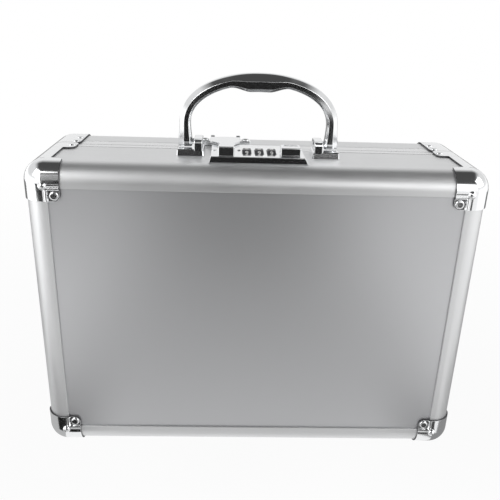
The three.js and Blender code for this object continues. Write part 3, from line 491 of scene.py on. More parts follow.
@dataclass
class Nodes:
    """A node tree under construction."""

    tree: bpy.types.NodeTree

    def add(self, kind: str, settings: dict | None = None, inputs: dict | None = None) -> bpy.types.Node:
        """Adds a node.

        Args:
            kind: The node's type.
            settings: Values of its properties.
            inputs: Values of its sockets, or the sockets that feed them.

        Returns:
            The node.
        """
        node = self.tree.nodes.new(kind)
        for key, value in (settings or {}).items():
            setattr(node, key, value)
        for key, value in (inputs or {}).items():
            if isinstance(value, Socket):
                self.tree.links.new(value, node.inputs[key])
            else:
                node.inputs[key].default_value = value
        return node

    def place(self) -> Socket:
        """The object coordinates."""
        return self.add("ShaderNodeTexCoord").outputs["Object"]

    def maths(self, operation: str, *values: object) -> Socket:
        """The result of a Math node on values or sockets."""
        return self.add("ShaderNodeMath", {"operation": operation}, dict(enumerate(values))).outputs[0]

    def remap(self, value: Socket, source: Pair, target: Pair) -> Socket:
        """The result of a clamped straight-line change of range."""
        inputs = dict(enumerate((value, *source, *target)))
        return self.add("ShaderNodeMapRange", {"clamp": True}, inputs).outputs[0]

    def blend(self, share: object, first: object, second: object) -> Socket:
        """A mix of two colours."""
        node = self.add("ShaderNodeMix", {"data_type": "RGBA"}, {0: share, 6: first, 7: second})
        return node.outputs[2]

    def noise(
        self, place: Socket, scale: object, detail: float, rough: float = 0.5, warp: float = 0.0
    ) -> Socket:
        """The value of a noise on coordinates."""
        inputs = {"Vector": place, "Scale": scale, "Detail": detail, "Roughness": rough, "Distortion": warp}
        return self.add("ShaderNodeTexNoise", inputs=inputs).outputs[0]


def emptied(owner: bpy.types.ID) -> Nodes:
    """Clears the node tree of a material or world.

    Args:
        owner: The material or world.

    Returns:
        Its empty tree.
    """
    owner.use_nodes = True
    owner.node_tree.nodes.clear()
    return Nodes(owner.node_tree)


@dataclass(frozen=True)
class Group:
    """A shader node group, made once and placed with its own values.

    Args:
        name: Its name.
        inward: Name and socket type of each input.
        outward: Names of its outputs, which are plain values.
        fill: Adds its nodes, given the tree and the input sockets, and returns the output sockets.
    """

    name: str
    inward: dict[str, str]
    outward: Sequence[str]
    fill: Callable[[Nodes, dict], dict]

    def tree(self) -> bpy.types.NodeTree:
        """Makes the group with its sockets and nodes.

        Returns:
            The group.
        """
        tree = bpy.data.node_groups.new(self.name, "ShaderNodeTree")
        for key, kind in self.inward.items():
            tree.interface.new_socket(name=key, in_out="INPUT", socket_type=kind)
        for key in self.outward:
            tree.interface.new_socket(name=key, in_out="OUTPUT", socket_type=FLOAT)
        nodes = Nodes(tree)
        nodes.add("NodeGroupOutput", inputs=self.fill(nodes, nodes.add("NodeGroupInput").outputs))
        return tree

    def place(self, nodes: Nodes, values: dict) -> dict:
        """Puts the group into a tree with its input values, and returns its outputs."""
        tree = bpy.data.node_groups.get(self.name) or self.tree()
        return nodes.add("ShaderNodeGroup", {"node_tree": tree}, values).outputs


def fill_grain(nodes: Nodes, entry: dict) -> dict:
    """Fine grain: noise on object coordinates stretched along the run, with a coarser noise for clouds.

    Args:
        nodes: The group's tree.
        entry: Its input sockets.

    Returns:
        What feeds its outputs.
    """
    place = nodes.place()
    drawn = nodes.add("ShaderNodeMapping", inputs={"Vector": place, "Scale": entry["Stretch"]}).outputs[0]
    lines = nodes.noise(drawn, entry["Fineness"], 3.0, 0.6)
    return {"Lines": lines, "Clouds": nodes.noise(place, 22.0, 2.0)}


def fill_wear(nodes: Nodes, entry: dict) -> dict:
    """Worn edges: how far the surface's normal leaves the mean normal around it, broken up by noise.

    Args:
        nodes: The group's tree.
        entry: Its input sockets.

    Returns:
        What feeds its outputs.
    """
    mean = nodes.add("ShaderNodeBevel", {"samples": 4}, {"Radius": entry["Width"]}).outputs[0]
    own = nodes.add("ShaderNodeNewGeometry").outputs["Normal"]
    along = nodes.add("ShaderNodeVectorMath", {"operation": "DOT_PRODUCT"}, {0: mean, 1: own}).outputs[1]
    edge = nodes.remap(along, (0.99, 0.9), (0.0, 1.0))
    patches = nodes.remap(nodes.noise(nodes.place(), entry["Breaks"], 4.0, 0.7), (0.45, 0.62), (0.0, 1.0))
    return {"Edge": nodes.maths("MULTIPLY", edge, patches)}


def fill_marks(nodes: Nodes, entry: dict) -> dict:
    """Handling marks: soft smears from warped noise, and sparse hairline scratches on object coordinates.

    Args:
        nodes: The group's tree.
        entry: Its input sockets.

    Returns:
        What feeds its outputs.
    """
    place = nodes.place()
    smears = nodes.remap(nodes.noise(place, entry["Smear"], 3.0, 0.55, 1.2), (0.42, 0.72), (0.0, 1.0))
    turn_in = {"Vector": place, "Rotation": (0.5, 0.8, 0.6), "Scale": (5.0, 260.0, 260.0)}
    turned = nodes.add("ShaderNodeMapping", inputs=turn_in).outputs[0]
    scratches = nodes.remap(nodes.noise(turned, 2.0, 1.0), (0.73, 0.78), (0.0, 1.0))
    return {"Smears": smears, "Scratches": scratches}


GRAIN = Group("fine_grain", {"Stretch": VECTOR, "Fineness": FLOAT}, ("Lines", "Clouds"), fill_grain)
WEAR = Group("edge_wear", {"Width": FLOAT, "Breaks": FLOAT}, ("Edge",), fill_wear)
MARKS = Group("handling_marks", {"Smear": FLOAT}, ("Smears", "Scratches"), fill_marks)


@dataclass(frozen=True)
class Finish:
    """A surface finish.

    Args:
        name: Name of its material.
        slot: The material slot of the record that it belongs to.
        colour: Base colour.
        roughness: Roughness of the clean surface.
        metallic: 1 for bare metal.
        run: The run of its fine lines.
        fineness: Scale of its grain.
        grain_colour: How far the grain darkens the colour.
        grain_rough: How far the grain changes the roughness.
        grain_height: Depth of the grain's relief.
        smear_rough: Added roughness where it was touched.
        scratch_rough: Added roughness in hairline scratches.
        worn_colour: Colour of worn edges.
        worn_share: Strength of the wear.
        worn_rough: Roughness of worn edges.
        sheen: Weight of cloth sheen.
        coat: Weight of a clear coat.
    """

    name: str
    slot: str
    colour: Colour
    roughness: float
    metallic: float = 1.0
    run: Along = Along.NONE
    fineness: float = 900.0
    grain_colour: float = 0.04
    grain_rough: float = 0.05
    grain_height: float = 0.004 * MM
    smear_rough: float = 0.04
    scratch_rough: float = 0.05
    worn_colour: Colour = (0.8, 0.8, 0.8)
    worn_share: float = 0.3
    worn_rough: float = 0.3
    sheen: float = 0.0
    coat: float = 0.0

    def material(self) -> bpy.types.Material:
        """Builds the material when it is first asked for.

        Returns:
            The material.
        """
        known = bpy.data.materials.get(self.name)
        if known:
            return known
        material = bpy.data.materials.new(self.name)
        nodes = emptied(material)
        shader = nodes.add("ShaderNodeBsdfPrincipled", inputs=self.sockets(nodes))
        shader.inputs["Metallic"].default_value = self.metallic
        shader.inputs["Sheen Weight"].default_value = self.sheen
        shader.inputs["Coat Weight"].default_value = self.coat
        nodes.add("ShaderNodeOutputMaterial", inputs={"Surface": shader.outputs[0]})
        return material

    def sockets(self, nodes: Nodes) -> dict[str, Socket]:
        """Works out colour, roughness and relief from grain, marks and wear.

        Args:
            nodes: The material's tree.

        Returns:
            What feeds the shader's sockets.
        """
        grain = GRAIN.place(nodes, {"Stretch": self.run.value, "Fineness": self.fineness})
        marks = MARKS.place(nodes, {"Smear": 16.0})
        edge = WEAR.place(nodes, {"Width": 0.35 * MM, "Breaks": 420.0})["Edge"]
        worn = nodes.maths("MULTIPLY", edge, self.worn_share)
        depth = nodes.maths("MULTIPLY", grain["Lines"], 2 * self.grain_colour)
        cloudy = nodes.maths("MULTIPLY_ADD", grain["Clouds"], self.grain_colour, depth)
        dark = (*(0.5 * part for part in self.colour), 1.0)
        clean = nodes.blend(cloudy, (*self.colour, 1.0), dark)
        low = self.roughness - self.grain_rough / 2
        rough = nodes.remap(grain["Lines"], (0.3, 0.7), (low, low + self.grain_rough))
        smeared = nodes.maths("MULTIPLY_ADD", marks["Smears"], self.smear_rough, rough)
        scratched = nodes.maths("MULTIPLY_ADD", marks["Scratches"], self.scratch_rough, smeared)
        gap = nodes.maths("SUBTRACT", self.worn_rough, scratched)
        bump_in = {"Height": grain["Lines"], "Distance": self.grain_height, "Strength": 1.0}
        return {
            "Base Color": nodes.blend(worn, clean, (*self.worn_colour, 1.0)),
            "Roughness": nodes.maths("MULTIPLY_ADD", gap, worn, scratched),
            "Normal": nodes.add("ShaderNodeBump", inputs=bump_in).outputs[0],
        }


RIM = Finish("satin_aluminium_rim", "satin_aluminium", (0.76, 0.765, 0.77), 0.28)
SATIN_X = replace(RIM, name="satin_aluminium_x", roughness=0.42, run=Along.X, worn_share=0.25)
SATIN_Z = replace(SATIN_X, name="satin_aluminium_z", run=Along.Z)
PANEL = Finish("panel_aluminium", "panel_aluminium", (0.63, 0.635, 0.64), 0.48, metallic=0.9, worn_share=0.1)
PANEL = replace(PANEL, fineness=1500.0, grain_rough=0.08, grain_height=0.01 * MM)
CHROME = Finish(
    "corner_chrome",
    "corner_chrome",
    (0.86, 0.865, 0.875),
    0.05,
    grain_colour=0.02,
    grain_rough=0.02,
    grain_height=0.0005 * MM,
    smear_rough=0.05,
    scratch_rough=0.12,
    worn_colour=(0.7, 0.7, 0.71),
    worn_share=0.2,
)
LOCK_CHROME = replace(CHROME, name="lock_chrome", slot="lock_chrome", roughness=0.06, scratch_rough=0.1)
HASP_CHROME = replace(LOCK_CHROME, name="hasp_chrome", slot="hasp_chrome")
GRIP_CHROME = replace(LOCK_CHROME, name="handle_chrome", slot="handle_chrome", smear_rough=0.06)
GRIP_CHROME = replace(GRIP_CHROME, worn_share=0.15)
# Dark rim of the corner covers' sheet: partly the dull cut steel, partly painted shade standing for the dark
# gap line along each cover's edge
CUT_EDGE_SHADE = Finish("corner_cut_edge", "corner_chrome", (0.1, 0.1, 0.105), 0.5, grain_rough=0.1)
CUT_EDGE_SHADE = replace(CUT_EDGE_SHADE, worn_colour=(0.3, 0.3, 0.31), worn_share=0.1)
STEEL = Finish("zinc_steel", "steel", (0.42, 0.43, 0.44), 0.36, fineness=500.0, grain_rough=0.12)
STEEL = replace(STEEL, worn_colour=(0.6, 0.6, 0.6))
DIAL = Finish("dial_black", "dial_black", (0.05, 0.05, 0.055), 0.35, metallic=0.0, grain_height=0.002 * MM)
DIAL = replace(DIAL, worn_colour=(0.15, 0.15, 0.15), coat=0.2)
DIGIT = replace(DIAL, name="dial_digits", colour=(0.62, 0.62, 0.61), roughness=0.5, coat=0.0)
DIGIT = replace(DIGIT, worn_colour=(0.5, 0.5, 0.5))
FELT = Finish(
    "black_felt",
    "lining",
    (0.06, 0.06, 0.065),
    0.95,
    metallic=0.0,
    fineness=1600.0,
    grain_colour=0.25,
    grain_height=0.15 * MM,
    smear_rough=0.0,
    scratch_rough=0.0,
    worn_colour=(0.16, 0.16, 0.165),
    worn_share=0.6,
    worn_rough=0.95,
    sheen=0.4,
)
RUBBER = Finish(
    "foot_rubber",
    "rubber",
    (0.04, 0.04, 0.042),
    0.7,
    metallic=0.0,
    fineness=700.0,
    grain_colour=0.15,
    grain_height=0.03 * MM,
    worn_colour=(0.12, 0.12, 0.12),
    worn_rough=0.85,
)


# Pieces

# Rounding of a cut sheet's rim: its share of the sheet's thickness, and the angle that it starts from
RIM_SHARE = 1 / 6
RIM_ANGLE = math.radians(60)
# Room around a pin in its hole
PIN_ROOM = 0.15 * MM


@dataclass
class Piece:
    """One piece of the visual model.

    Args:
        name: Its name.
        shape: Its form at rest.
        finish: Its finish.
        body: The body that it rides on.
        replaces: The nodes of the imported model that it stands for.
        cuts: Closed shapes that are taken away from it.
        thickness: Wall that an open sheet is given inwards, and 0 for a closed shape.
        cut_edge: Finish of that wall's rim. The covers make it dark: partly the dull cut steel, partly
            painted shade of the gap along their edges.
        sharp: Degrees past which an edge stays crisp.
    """

    name: str
    shape: Shape
    finish: Finish
    body: Body
    replaces: Sequence[str] = ()
    cuts: Sequence[Shape] = ()
    thickness: float = 0.0
    cut_edge: Finish | None = None
    sharp: float = 34.0

    def place(self) -> bpy.types.Object:
        """Builds the object, dresses it, and binds it to its body.

        Returns:
            The finished object.
        """
        mesh = carved(mesh_of(self.name, self.shape, not self.thickness), self.cuts)
        mesh.name = self.name
        mesh.polygons.foreach_set("use_smooth", np.ones(len(mesh.polygons), bool))
        mesh.set_sharp_from_angle(angle=math.radians(self.sharp))
        mesh.materials.clear()
        mesh.materials.append(self.finish.material())
        made = linked(self.name, mesh)
        if self.thickness:
            # The rim takes the second finish, which is dark: painted shade along the sheet's edge, partly the
            # dull cut edge
            mesh.materials.append(self.cut_edge.material())
            wall = made.modifiers.new("wall", "SOLIDIFY")
            wall.thickness = self.thickness
            wall.offset = -1.0
            wall.material_offset_rim = 1
            rim = made.modifiers.new("rim", "BEVEL")
            rim.width = self.thickness * RIM_SHARE
            rim.segments = 2
            rim.limit_method = "ANGLE"
            rim.angle_limit = RIM_ANGLE
        even = made.modifiers.new("even shading", "WEIGHTED_NORMAL")
        even.keep_sharp = True
        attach(made, self.body.value)
        if self.replaces:
            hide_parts(*self.replaces)
        log.info("%s: %d faces on %s", self.name, len(mesh.polygons), self.body.value)
        return made


def pin_rod(node: str, body: Body, centre: Pair, edge: float = 0.2 * MM) -> Piece:
    """Makes a pin or axle along X that stands for its node.

    Args:
        node: The node, which gives its radius and its ends.
        body: The body that it rides on.
        centre: Its place on Y and Z.
        edge: Radius of its rims.

    Returns:
        The piece.
    """
    span = box(node)
    shape = rod(Axis.X, half_of(span.z), span.x, centre, edge)
    return Piece(f"{node}_rod", shape, STEEL, body, [node])


def bore(node: str, span: Pair, centre: Pair) -> Shape:
    """The hole along X that a pin turns in."""
    return rod(Axis.X, half_of(box(node).z) + PIN_ROOM, grown(span, MM), centre)


@dataclass(frozen=True)
class Case:
    """The closed case's outer faces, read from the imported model."""

    right: float = box("base_profile_right").x[1]
    front: float = box("base_profile_top").y[0]
    back: float = box("lid_profile_top").y[1]
    bottom: float = box("base_profile_bottom").z[0]
    top: float = box("base_profile_top").z[1]
    base_seam: float = box("base_rim").y[1]
    lid_seam: float = box("lid_rim").y[0]
    edge_radius: float = 14.4 * MM
    edge_steps: int = 14

    def outline(self) -> np.ndarray:
        """The case's outline seen from the front."""
        across, up = (-self.right, self.right), (self.bottom, self.top)
        return rectangle(across, up, self.edge_radius, self.edge_steps)


@dataclass(frozen=True)
class Half:
    """Base or lid, with its depths counted from its own panel.

    Args:
        name: The half's name, which starts its nodes' names.
        body: The body that it is.
        face: Where its panel side is on Y.
        inwards: 1 if its depth grows with Y, and -1 if not.
        depth: Depth from the panel side to the seam.
        rim_width: Width of its rim band.
    """

    name: str
    body: Body
    face: float
    inwards: int
    depth: float
    rim_width: float

    def y(self, depth: Numbers) -> Numbers:
        """Place on Y of a depth behind the panel side."""
        return self.face + self.inwards * depth


@dataclass(frozen=True)
class Shell:
    """One half's edge profiles, panel, rim band, lining and feet."""

    case: Case
    half: Half
    wall: float = 1.4 * MM
    lip: float = 17.4 * MM
    lip_round: float = 0.45 * MM
    sheet_round: float = 0.25 * MM
    section_steps: int = 18
    opening_margin: float = 3.5 * MM
    groove: float = 0.6 * MM
    rim_thickness: float = 5.5 * MM
    rim_tongue: float = 5.0 * MM
    rim_tongue_wall: float = 3.0 * MM
    rim_soft: float = 0.35 * MM
    crown: float = 0.25 * MM
    panel_grid: tuple[int, int] = (41, 31)
    liner_inset: float = 6.0 * MM
    liner_wall: float = 1.5 * MM
    liner_fillet: float = 3.0 * MM
    tray_room: float = 1.0 * MM
    foot_taper: float = 1.0 * MM
    foot_hole: float = 2.6 * MM
    foot_hollow: float = 2.2 * MM
    foot_radii: tuple[float, ...] = (0, 0.3 * MM, 0.5 * MM, 1.0 * MM, 0.3 * MM, 0)
    foot_screw: Pair = (2.3 * MM, 1.2 * MM)
    fit: float = 0.1 * MM

    def section(self) -> np.ndarray:
        """Outline of the edge profile: a lip over the panel, a quarter round and a wall to the rim.

        Returns:
            Rows of depth behind the panel side and distance from the outer face.
        """
        depth = self.half.depth - self.half.rim_width
        wall, lip, radius = self.wall, self.lip, self.case.edge_radius
        corners = [(0, lip), (0, 0), (depth, 0), (depth, wall), (wall, wall), (wall, lip)]
        radii = [self.lip_round, radius, self.sheet_round, 0, radius - wall, self.sheet_round]
        return rounded(corners, radii, self.section_steps)

    def profiles(self) -> list[Piece]:
        """The four edge profiles: the section carried along each side, with its ends under the corners.

        Returns:
            The pieces.
        """
        case = self.case
        section = self.section()
        depth, out = self.half.y(section[:, 0]), section[:, 1]
        across = around(0.0, case.right - case.edge_radius)
        upright = grown((case.bottom, case.top), -self.lip - 2 * self.fit)
        top = prism(stacked(depth, case.top - out), Axis.X, across)
        low = prism(stacked(depth, case.bottom + out), Axis.X, across)
        right = prism(stacked(case.right - out, depth), Axis.Z, upright)
        plate = box("lock_plate")
        margin = self.opening_margin
        room = (plate.x[0] + margin, plate.x[1] - 2 * margin)
        opening = block(room, grown(plate.y, -margin), around(case.top, 3 * self.wall))
        made = []
        for side, shape, finish, holes in (
            ("top", top, SATIN_X, [opening] if self.half.body is Body.BASE else []),
            ("bottom", low, SATIN_X, []),
            ("right", right, SATIN_Z, []),
            ("left", right.mirrored(Axis.X), SATIN_Z, []),
        ):
            node = f"{self.half.name}_profile_{side}"
            made.append(Piece(f"{node}_extrusion", shape, finish, self.half.body, [node], holes))
        return made

    def panel(self) -> Piece:
        """The panel: a sheet that bows outwards by crown (1 - u u)(1 - v v) over its width and height.

        Returns:
            The piece.
        """
        node = f"{self.half.name}_panel"
        span = box(node)
        u, v = np.meshgrid(*(np.linspace(-1, 1, count) for count in self.panel_grid))
        x = mid(span.x) + u * half_of(span.x)
        z = mid(span.z) + v * half_of(span.z)
        start = self.wall + self.fit
        outer = self.half.y(start - self.crown * (1 - u**2) * (1 - v**2))
        inner = self.half.y(start + (span.y[1] - span.y[0]))
        shape = slab(stacked(x, outer, z), stacked(x, inner, z))
        return Piece(f"{node}_sheet", shape, PANEL, self.half.body, [node])

    def rim(self) -> list[Piece]:
        """The rim band and the black tongue that joins it to the profiles; its black is painted shade that
        shows in the groove.

        Returns:
            The pieces.
        """
        seam = self.half.depth
        start = seam - self.half.rim_width + self.groove
        node = f"{self.half.name}_rim"
        band = self.ring((0, self.rim_thickness), (start, seam), self.rim_soft)
        tongue = self.wall + self.fit
        wall = (tongue, tongue + self.rim_tongue_wall)
        # Black rubber behind the groove: a joining tongue whose colour is painted shade, so that the groove
        # reads dark
        groove_shade_tongue = self.ring(wall, (start - self.rim_tongue, start + self.rim_soft), self.fit)
        return [
            Piece(f"{node}_band", band, RIM, self.half.body, [node]),
            Piece(f"{node}_seal", groove_shade_tongue, RUBBER, self.half.body),
        ]

    def ring(self, inward: Pair, depth: Pair, soft: float) -> Shape:
        """A ring around the case: a rounded rectangle of insets and depths carried along its outline."""
        insets, depths = rectangle(inward, depth, soft, steps=4).T
        return carry(self.case.outline(), list(zip(insets, self.half.y(depths))), Axis.Y, closed=True)

    def liner(self) -> Piece:
        """The felt tray: walls along the case's outline, with a half-round rim and a filleted floor.

        Returns:
            The piece.
        """
        node = f"{self.half.name}_liner"
        inward = self.half.inwards
        back, mouth = box(node).y[::inward]
        floor = back + inward * self.liner_wall
        half = self.liner_wall / 2
        angle = np.linspace(0, np.pi, 7)
        turn = np.linspace(0, np.pi / 2, 7)
        rim_at = self.liner_inset + half * (1 - np.cos(angle))
        rim = np.column_stack([rim_at, mouth + inward * (half * np.sin(angle) - half)])
        corner_at = self.liner_inset + self.liner_wall + self.liner_fillet * (1 - np.cos(turn))
        corner = np.column_stack([corner_at, floor + inward * (self.liner_fillet * (1 - np.sin(turn)))])
        stations = np.concatenate([[[self.liner_inset, back]], rim, corner])
        cuts = []
        if self.half.body is Body.BASE:
            tray, room = box("lock_undercase"), self.tray_room
            cuts.append(block(grown(tray.x, room), grown(tray.y, room), (tray.z[0] - room, self.case.top)))
        shape = carry(self.case.outline(), stations, Axis.Y)
        return Piece(f"{node}_felt", shape, FELT, self.half.body, [node], cuts)

    def feet(self) -> list[Piece]:
        """The two feet of this half: cones with a hollow for a screw, turned from a rounded profile.

        Returns:
            The feet and their screws.
        """
        made = []
        for side in ("left", "right"):
            node = f"foot_{self.half.name}_{side}"
            span = box(node)
            centre = (mid(span.x), mid(span.y))
            low, high = span.z
            radius, hole, hollow = half_of(span.x), self.foot_hole, low + self.foot_hollow
            tip = radius - self.foot_taper
            corners = [(0, hollow), (hole, hollow), (hole, low), (tip, low), (radius, high), (0, high)]
            profile = np.roll(rounded(corners, self.foot_radii, steps=6), -1, axis=0)
            start = int(np.argmin(profile[:, 0] + np.abs(profile[:, 1] - hollow)))
            shape = revolve(np.roll(profile, -start, axis=0), Axis.Z, centre)
            made.append(Piece(f"{node}_rubber", shape, RUBBER, self.half.body, [node]))
            screw = dome(*self.foot_screw).mirrored(Axis.Z).moved(*centre, hollow + self.fit)
            made.append(Piece(f"{node}_screw", screw, STEEL, self.half.body))
        return made

    def pieces(self) -> list[Piece]:
        """All pieces of this shell."""
        return [*self.profiles(), self.panel(), *self.rim(), self.liner(), *self.feet()]


@dataclass(frozen=True)
class Dividers:
    """The three felt-covered boards that part the base into compartments, with round edges."""

    soft: float = 1.2 * MM

    def pieces(self) -> list[Piece]:
        """The boards, in the places of their nodes.

        Returns:
            The pieces.
        """
        made = []
        for node in ("divider_long", "divider_short_upper", "divider_short_lower"):
            span = box(node)
            shape = block(span.x, span.y, span.z, self.soft, self.soft)
            made.append(Piece(f"{node}_board", shape, FELT, Body.BASE, [node]))
        return made


@dataclass(frozen=True)
class Corners:
    """The chrome covers on the corners of one half, with their rivets."""

    case: Case
    half: Half
    rivets: Sequence[float]
    notched: bool
    proud: float = 1.3 * MM
    sheet: float = 1.05 * MM
    reach: float = 26.5 * MM
    lobe: float = 4.5 * MM
    wide: float = 13.2 * MM
    slope: float = 2.3 * MM
    strip: float = 18.0 * MM
    tab: float = 17.0 * MM
    seam_gap: float = 0.15 * MM
    bead_at: float = 17.2 * MM
    bead_height: float = 0.4 * MM
    bead_flat: float = 0.6 * MM
    bead_soft: float = 0.22 * MM
    valley_depth: float = 0.1 * MM
    valley_at: float = 1.2 * MM
    valley_end: float = 2.2 * MM
    pad_drop: float = 1.0 * MM
    pad_from: float = 1.0 * MM
    ball_at: float = 15.0 * MM
    ball_radius: float = 3.0 * MM
    ball_height: float = 0.85
    ball_sunk: float = 0.3 * MM
    rivet_radius: float = 3.3 * MM
    rivet_height: float = 1.1 * MM
    rivet_flat: float = 0.62
    rivet_at: float = 22.4 * MM
    tab_rivet_at: float = 22.5 * MM
    columns: tuple[int, int, int] = (16, 36, 14)
    column_power: float = 1.3
    rows: tuple[int, int, int, int] = (20, 18, 6, 40)

    def shares(self) -> np.ndarray:
        """Column places from the case's edge to the cover's border, closest together over the pressing.

        Returns:
            Shares of the way between them.
        """
        plain, fine, border = self.columns
        start = self.bead_at - self.valley_end - self.ball_radius / 2
        stop = self.bead_at + self.pad_from + self.bead_soft
        near_edge = np.linspace(-self.proud, start, plain, endpoint=False)
        pressing = np.linspace(start, stop, fine, endpoint=False)
        rest = stop + (self.reach - stop) * (1 - (1 - np.linspace(0, 1, border)) ** self.column_power)
        return (np.concatenate([near_edge, pressing, rest]) + self.proud) / (self.reach + self.proud)

    def lobe_width(self, along: np.ndarray, end: float) -> np.ndarray:
        """Width up to a border whose last corner is a quarter round that finishes at end."""
        past = np.clip(along - (end - self.lobe), 0, self.lobe)
        return self.reach - self.lobe + np.sqrt(self.lobe**2 - past**2)

    def run(self) -> tuple[np.ndarray, np.ndarray]:
        """Depths behind the panel side along the top and side legs, and the leg's width at each.

        The width is wide at the front, narrows over a short slope to a strip, and swells into a round tab
        at the seam. A cover without a notch keeps its full width up to the tab's last round.

        Returns:
            Depths and widths, as two arrays.
        """
        wide, narrow, round_tab, even = self.rows
        end = self.half.depth - self.seam_gap
        quarter = np.linspace(0, np.pi / 2, 9)
        close = end - self.lobe + self.lobe * np.sin(quarter)
        if not self.notched:
            depths = np.concatenate([np.linspace(-self.proud, close[0], even)[:-1], close])
            return depths, self.lobe_width(depths, end)
        start = end - self.tab
        swell = start + self.lobe * (1 - np.cos(quarter))
        front = np.linspace(-self.proud, self.wide, wide)
        neck = np.linspace(self.wide + self.slope, start, narrow)
        middle = np.linspace(swell[-1], close[0], round_tab)[1:-1]
        opening = self.reach - self.lobe + self.lobe * np.sin(quarter)
        widths = [np.full_like(front, self.reach), np.full_like(neck, self.strip), opening[1:]]
        widths += [np.full_like(middle, self.reach), self.lobe_width(close, end)]
        return np.concatenate([front, neck, swell[1:], middle, close]), np.concatenate(widths)

    def relief(self, a: np.ndarray, b: np.ndarray) -> np.ndarray:
        """Height of the pressing on the panel side over the cover's plain surface.

        Across the profile's lip the sheet sinks a little, rises to a narrow bead and steps down to the pad on
        the panel. The profile is straight between those heights, and the mean of three neighbouring places
        softens it. The beads end where the ball sits.

        Args:
            a: Inset from the case's side.
            b: Inset from the case's top.

        Returns:
            Height at each point.
        """
        bends = [-self.valley_end, -self.valley_at, -self.bead_flat, self.bead_flat, self.pad_from]
        places = self.bead_at + np.array(bends)
        heights = [0, -self.valley_depth, self.bead_height, self.bead_height, -self.pad_drop]
        shifts = (-self.bead_soft, 0, self.bead_soft)

        def profile(across: np.ndarray, along: np.ndarray) -> np.ndarray:
            """Height of the pressing that runs along one side."""
            height = sum(np.interp(across + shift, places, heights) for shift in shifts) / len(shifts)
            return np.where(along > self.ball_at, height, np.minimum(height, 0))

        return np.maximum(profile(a, b), profile(b, a))

    def bend(self, a: Numbers, u: Numbers, b: Numbers, height: Numbers = 0.0) -> np.ndarray:
        """Lays points of a sharp-cornered box around the case's rounded corner.

        A point is pulled to the nearest place in the box's core, and set at the corner's radius from it
        along the same line. That keeps flat stretches flat and makes cylinders and a ball of the rest.

        Args:
            a: Inset from the case's right side.
            u: Depth behind the panel side.
            b: Inset from the case's top.
            height: Height above the plain surface.

        Returns:
            Array of points.
        """
        case, radius = self.case, self.case.edge_radius
        x, z = case.right - a, case.top - b
        core = stacked(
            np.minimum(x, case.right - radius), np.maximum(u, radius), np.minimum(z, case.top - radius)
        )
        away = unit(stacked(x, u, z) - core)
        lift = np.broadcast_to(height, away.shape[:-1])[..., None]
        points = core + away * (radius + self.proud + lift)
        points[..., 1] = self.half.y(points[..., 1])
        return points

    def skin(self) -> Shape:
        """The top right cover's outer surface: a patch on the panel side and a leg on the top and the side.

        Returns:
            The open surface, with its faces outwards.
        """
        edge = -self.proud
        share = self.shares()
        stop = self.bead_at + self.pad_from + self.bead_soft
        b = (edge + (self.reach - edge) * share)[:, None]
        width = self.lobe_width(b, self.reach)
        a = np.where(b.T <= stop, b.T, stop + (width - stop) * (b.T - stop) / (self.reach - stop))
        face = sheet(self.bend(a, edge, b, self.relief(a, b)))
        depths, widths = self.run()
        across = edge + (widths[:, None] - edge) * share[None]
        top = sheet(self.bend(across, depths[:, None], edge)).flipped()
        whole = face + top + sheet(self.bend(edge, depths[:, None], across))
        return whole if self.half.inwards > 0 else whole.flipped()

    def heads(self) -> Shape:
        """The top right cover's rivet heads on the panel side, the top and the side, and the ball.

        Returns:
            All heads in one shape.
        """
        case, half = self.case, self.half
        shapes = []
        for head, at, level in (
            (dome(self.rivet_radius, self.rivet_height, self.rivet_flat), self.rivet_at, self.pad_drop),
            (dome(self.ball_radius, self.ball_height * self.ball_radius), self.ball_at, self.ball_sunk),
        ):
            facing = head.turned(Axis.X, 90 * half.inwards)
            shapes.append(facing.moved(case.right - at, half.y(-self.proud + level), case.top - at))
        head = dome(self.rivet_radius, self.rivet_height)
        aside = head.turned(Axis.Y, 90)
        for depth in self.rivets:
            y = half.y(depth)
            shapes.append(head.moved(case.right - self.tab_rivet_at, y, case.top + self.proud))
            shapes.append(aside.moved(case.right + self.proud, y, case.top - self.tab_rivet_at))
        return together(shapes)

    def pieces(self) -> list[Piece]:
        """Covers and rivets of all four corners, mirrored from the top right ones.

        Returns:
            The pieces.
        """
        made = []
        middle = mid((self.case.bottom, self.case.top))
        for level in ("top", "bottom"):
            for side in ("left", "right"):
                node = f"{self.half.name}_corner_{level}_{side}"
                pair = [self.skin(), self.heads()]
                if side == "left":
                    pair = [shape.mirrored(Axis.X) for shape in pair]
                if level == "bottom":
                    pair = [shape.mirrored(Axis.Z, middle) for shape in pair]
                cover, rivets = pair
                body = self.half.body
                # Each cover's rim is dark: painted shade of the gap along its edge, partly the dull cut steel
                made.append(Piece(f"{node}_cover", cover, CHROME, body, [node], (), self.sheet, CUT_EDGE_SHADE))
                made.append(Piece(f"{node}_rivets", rivets, CHROME, body))
        return made


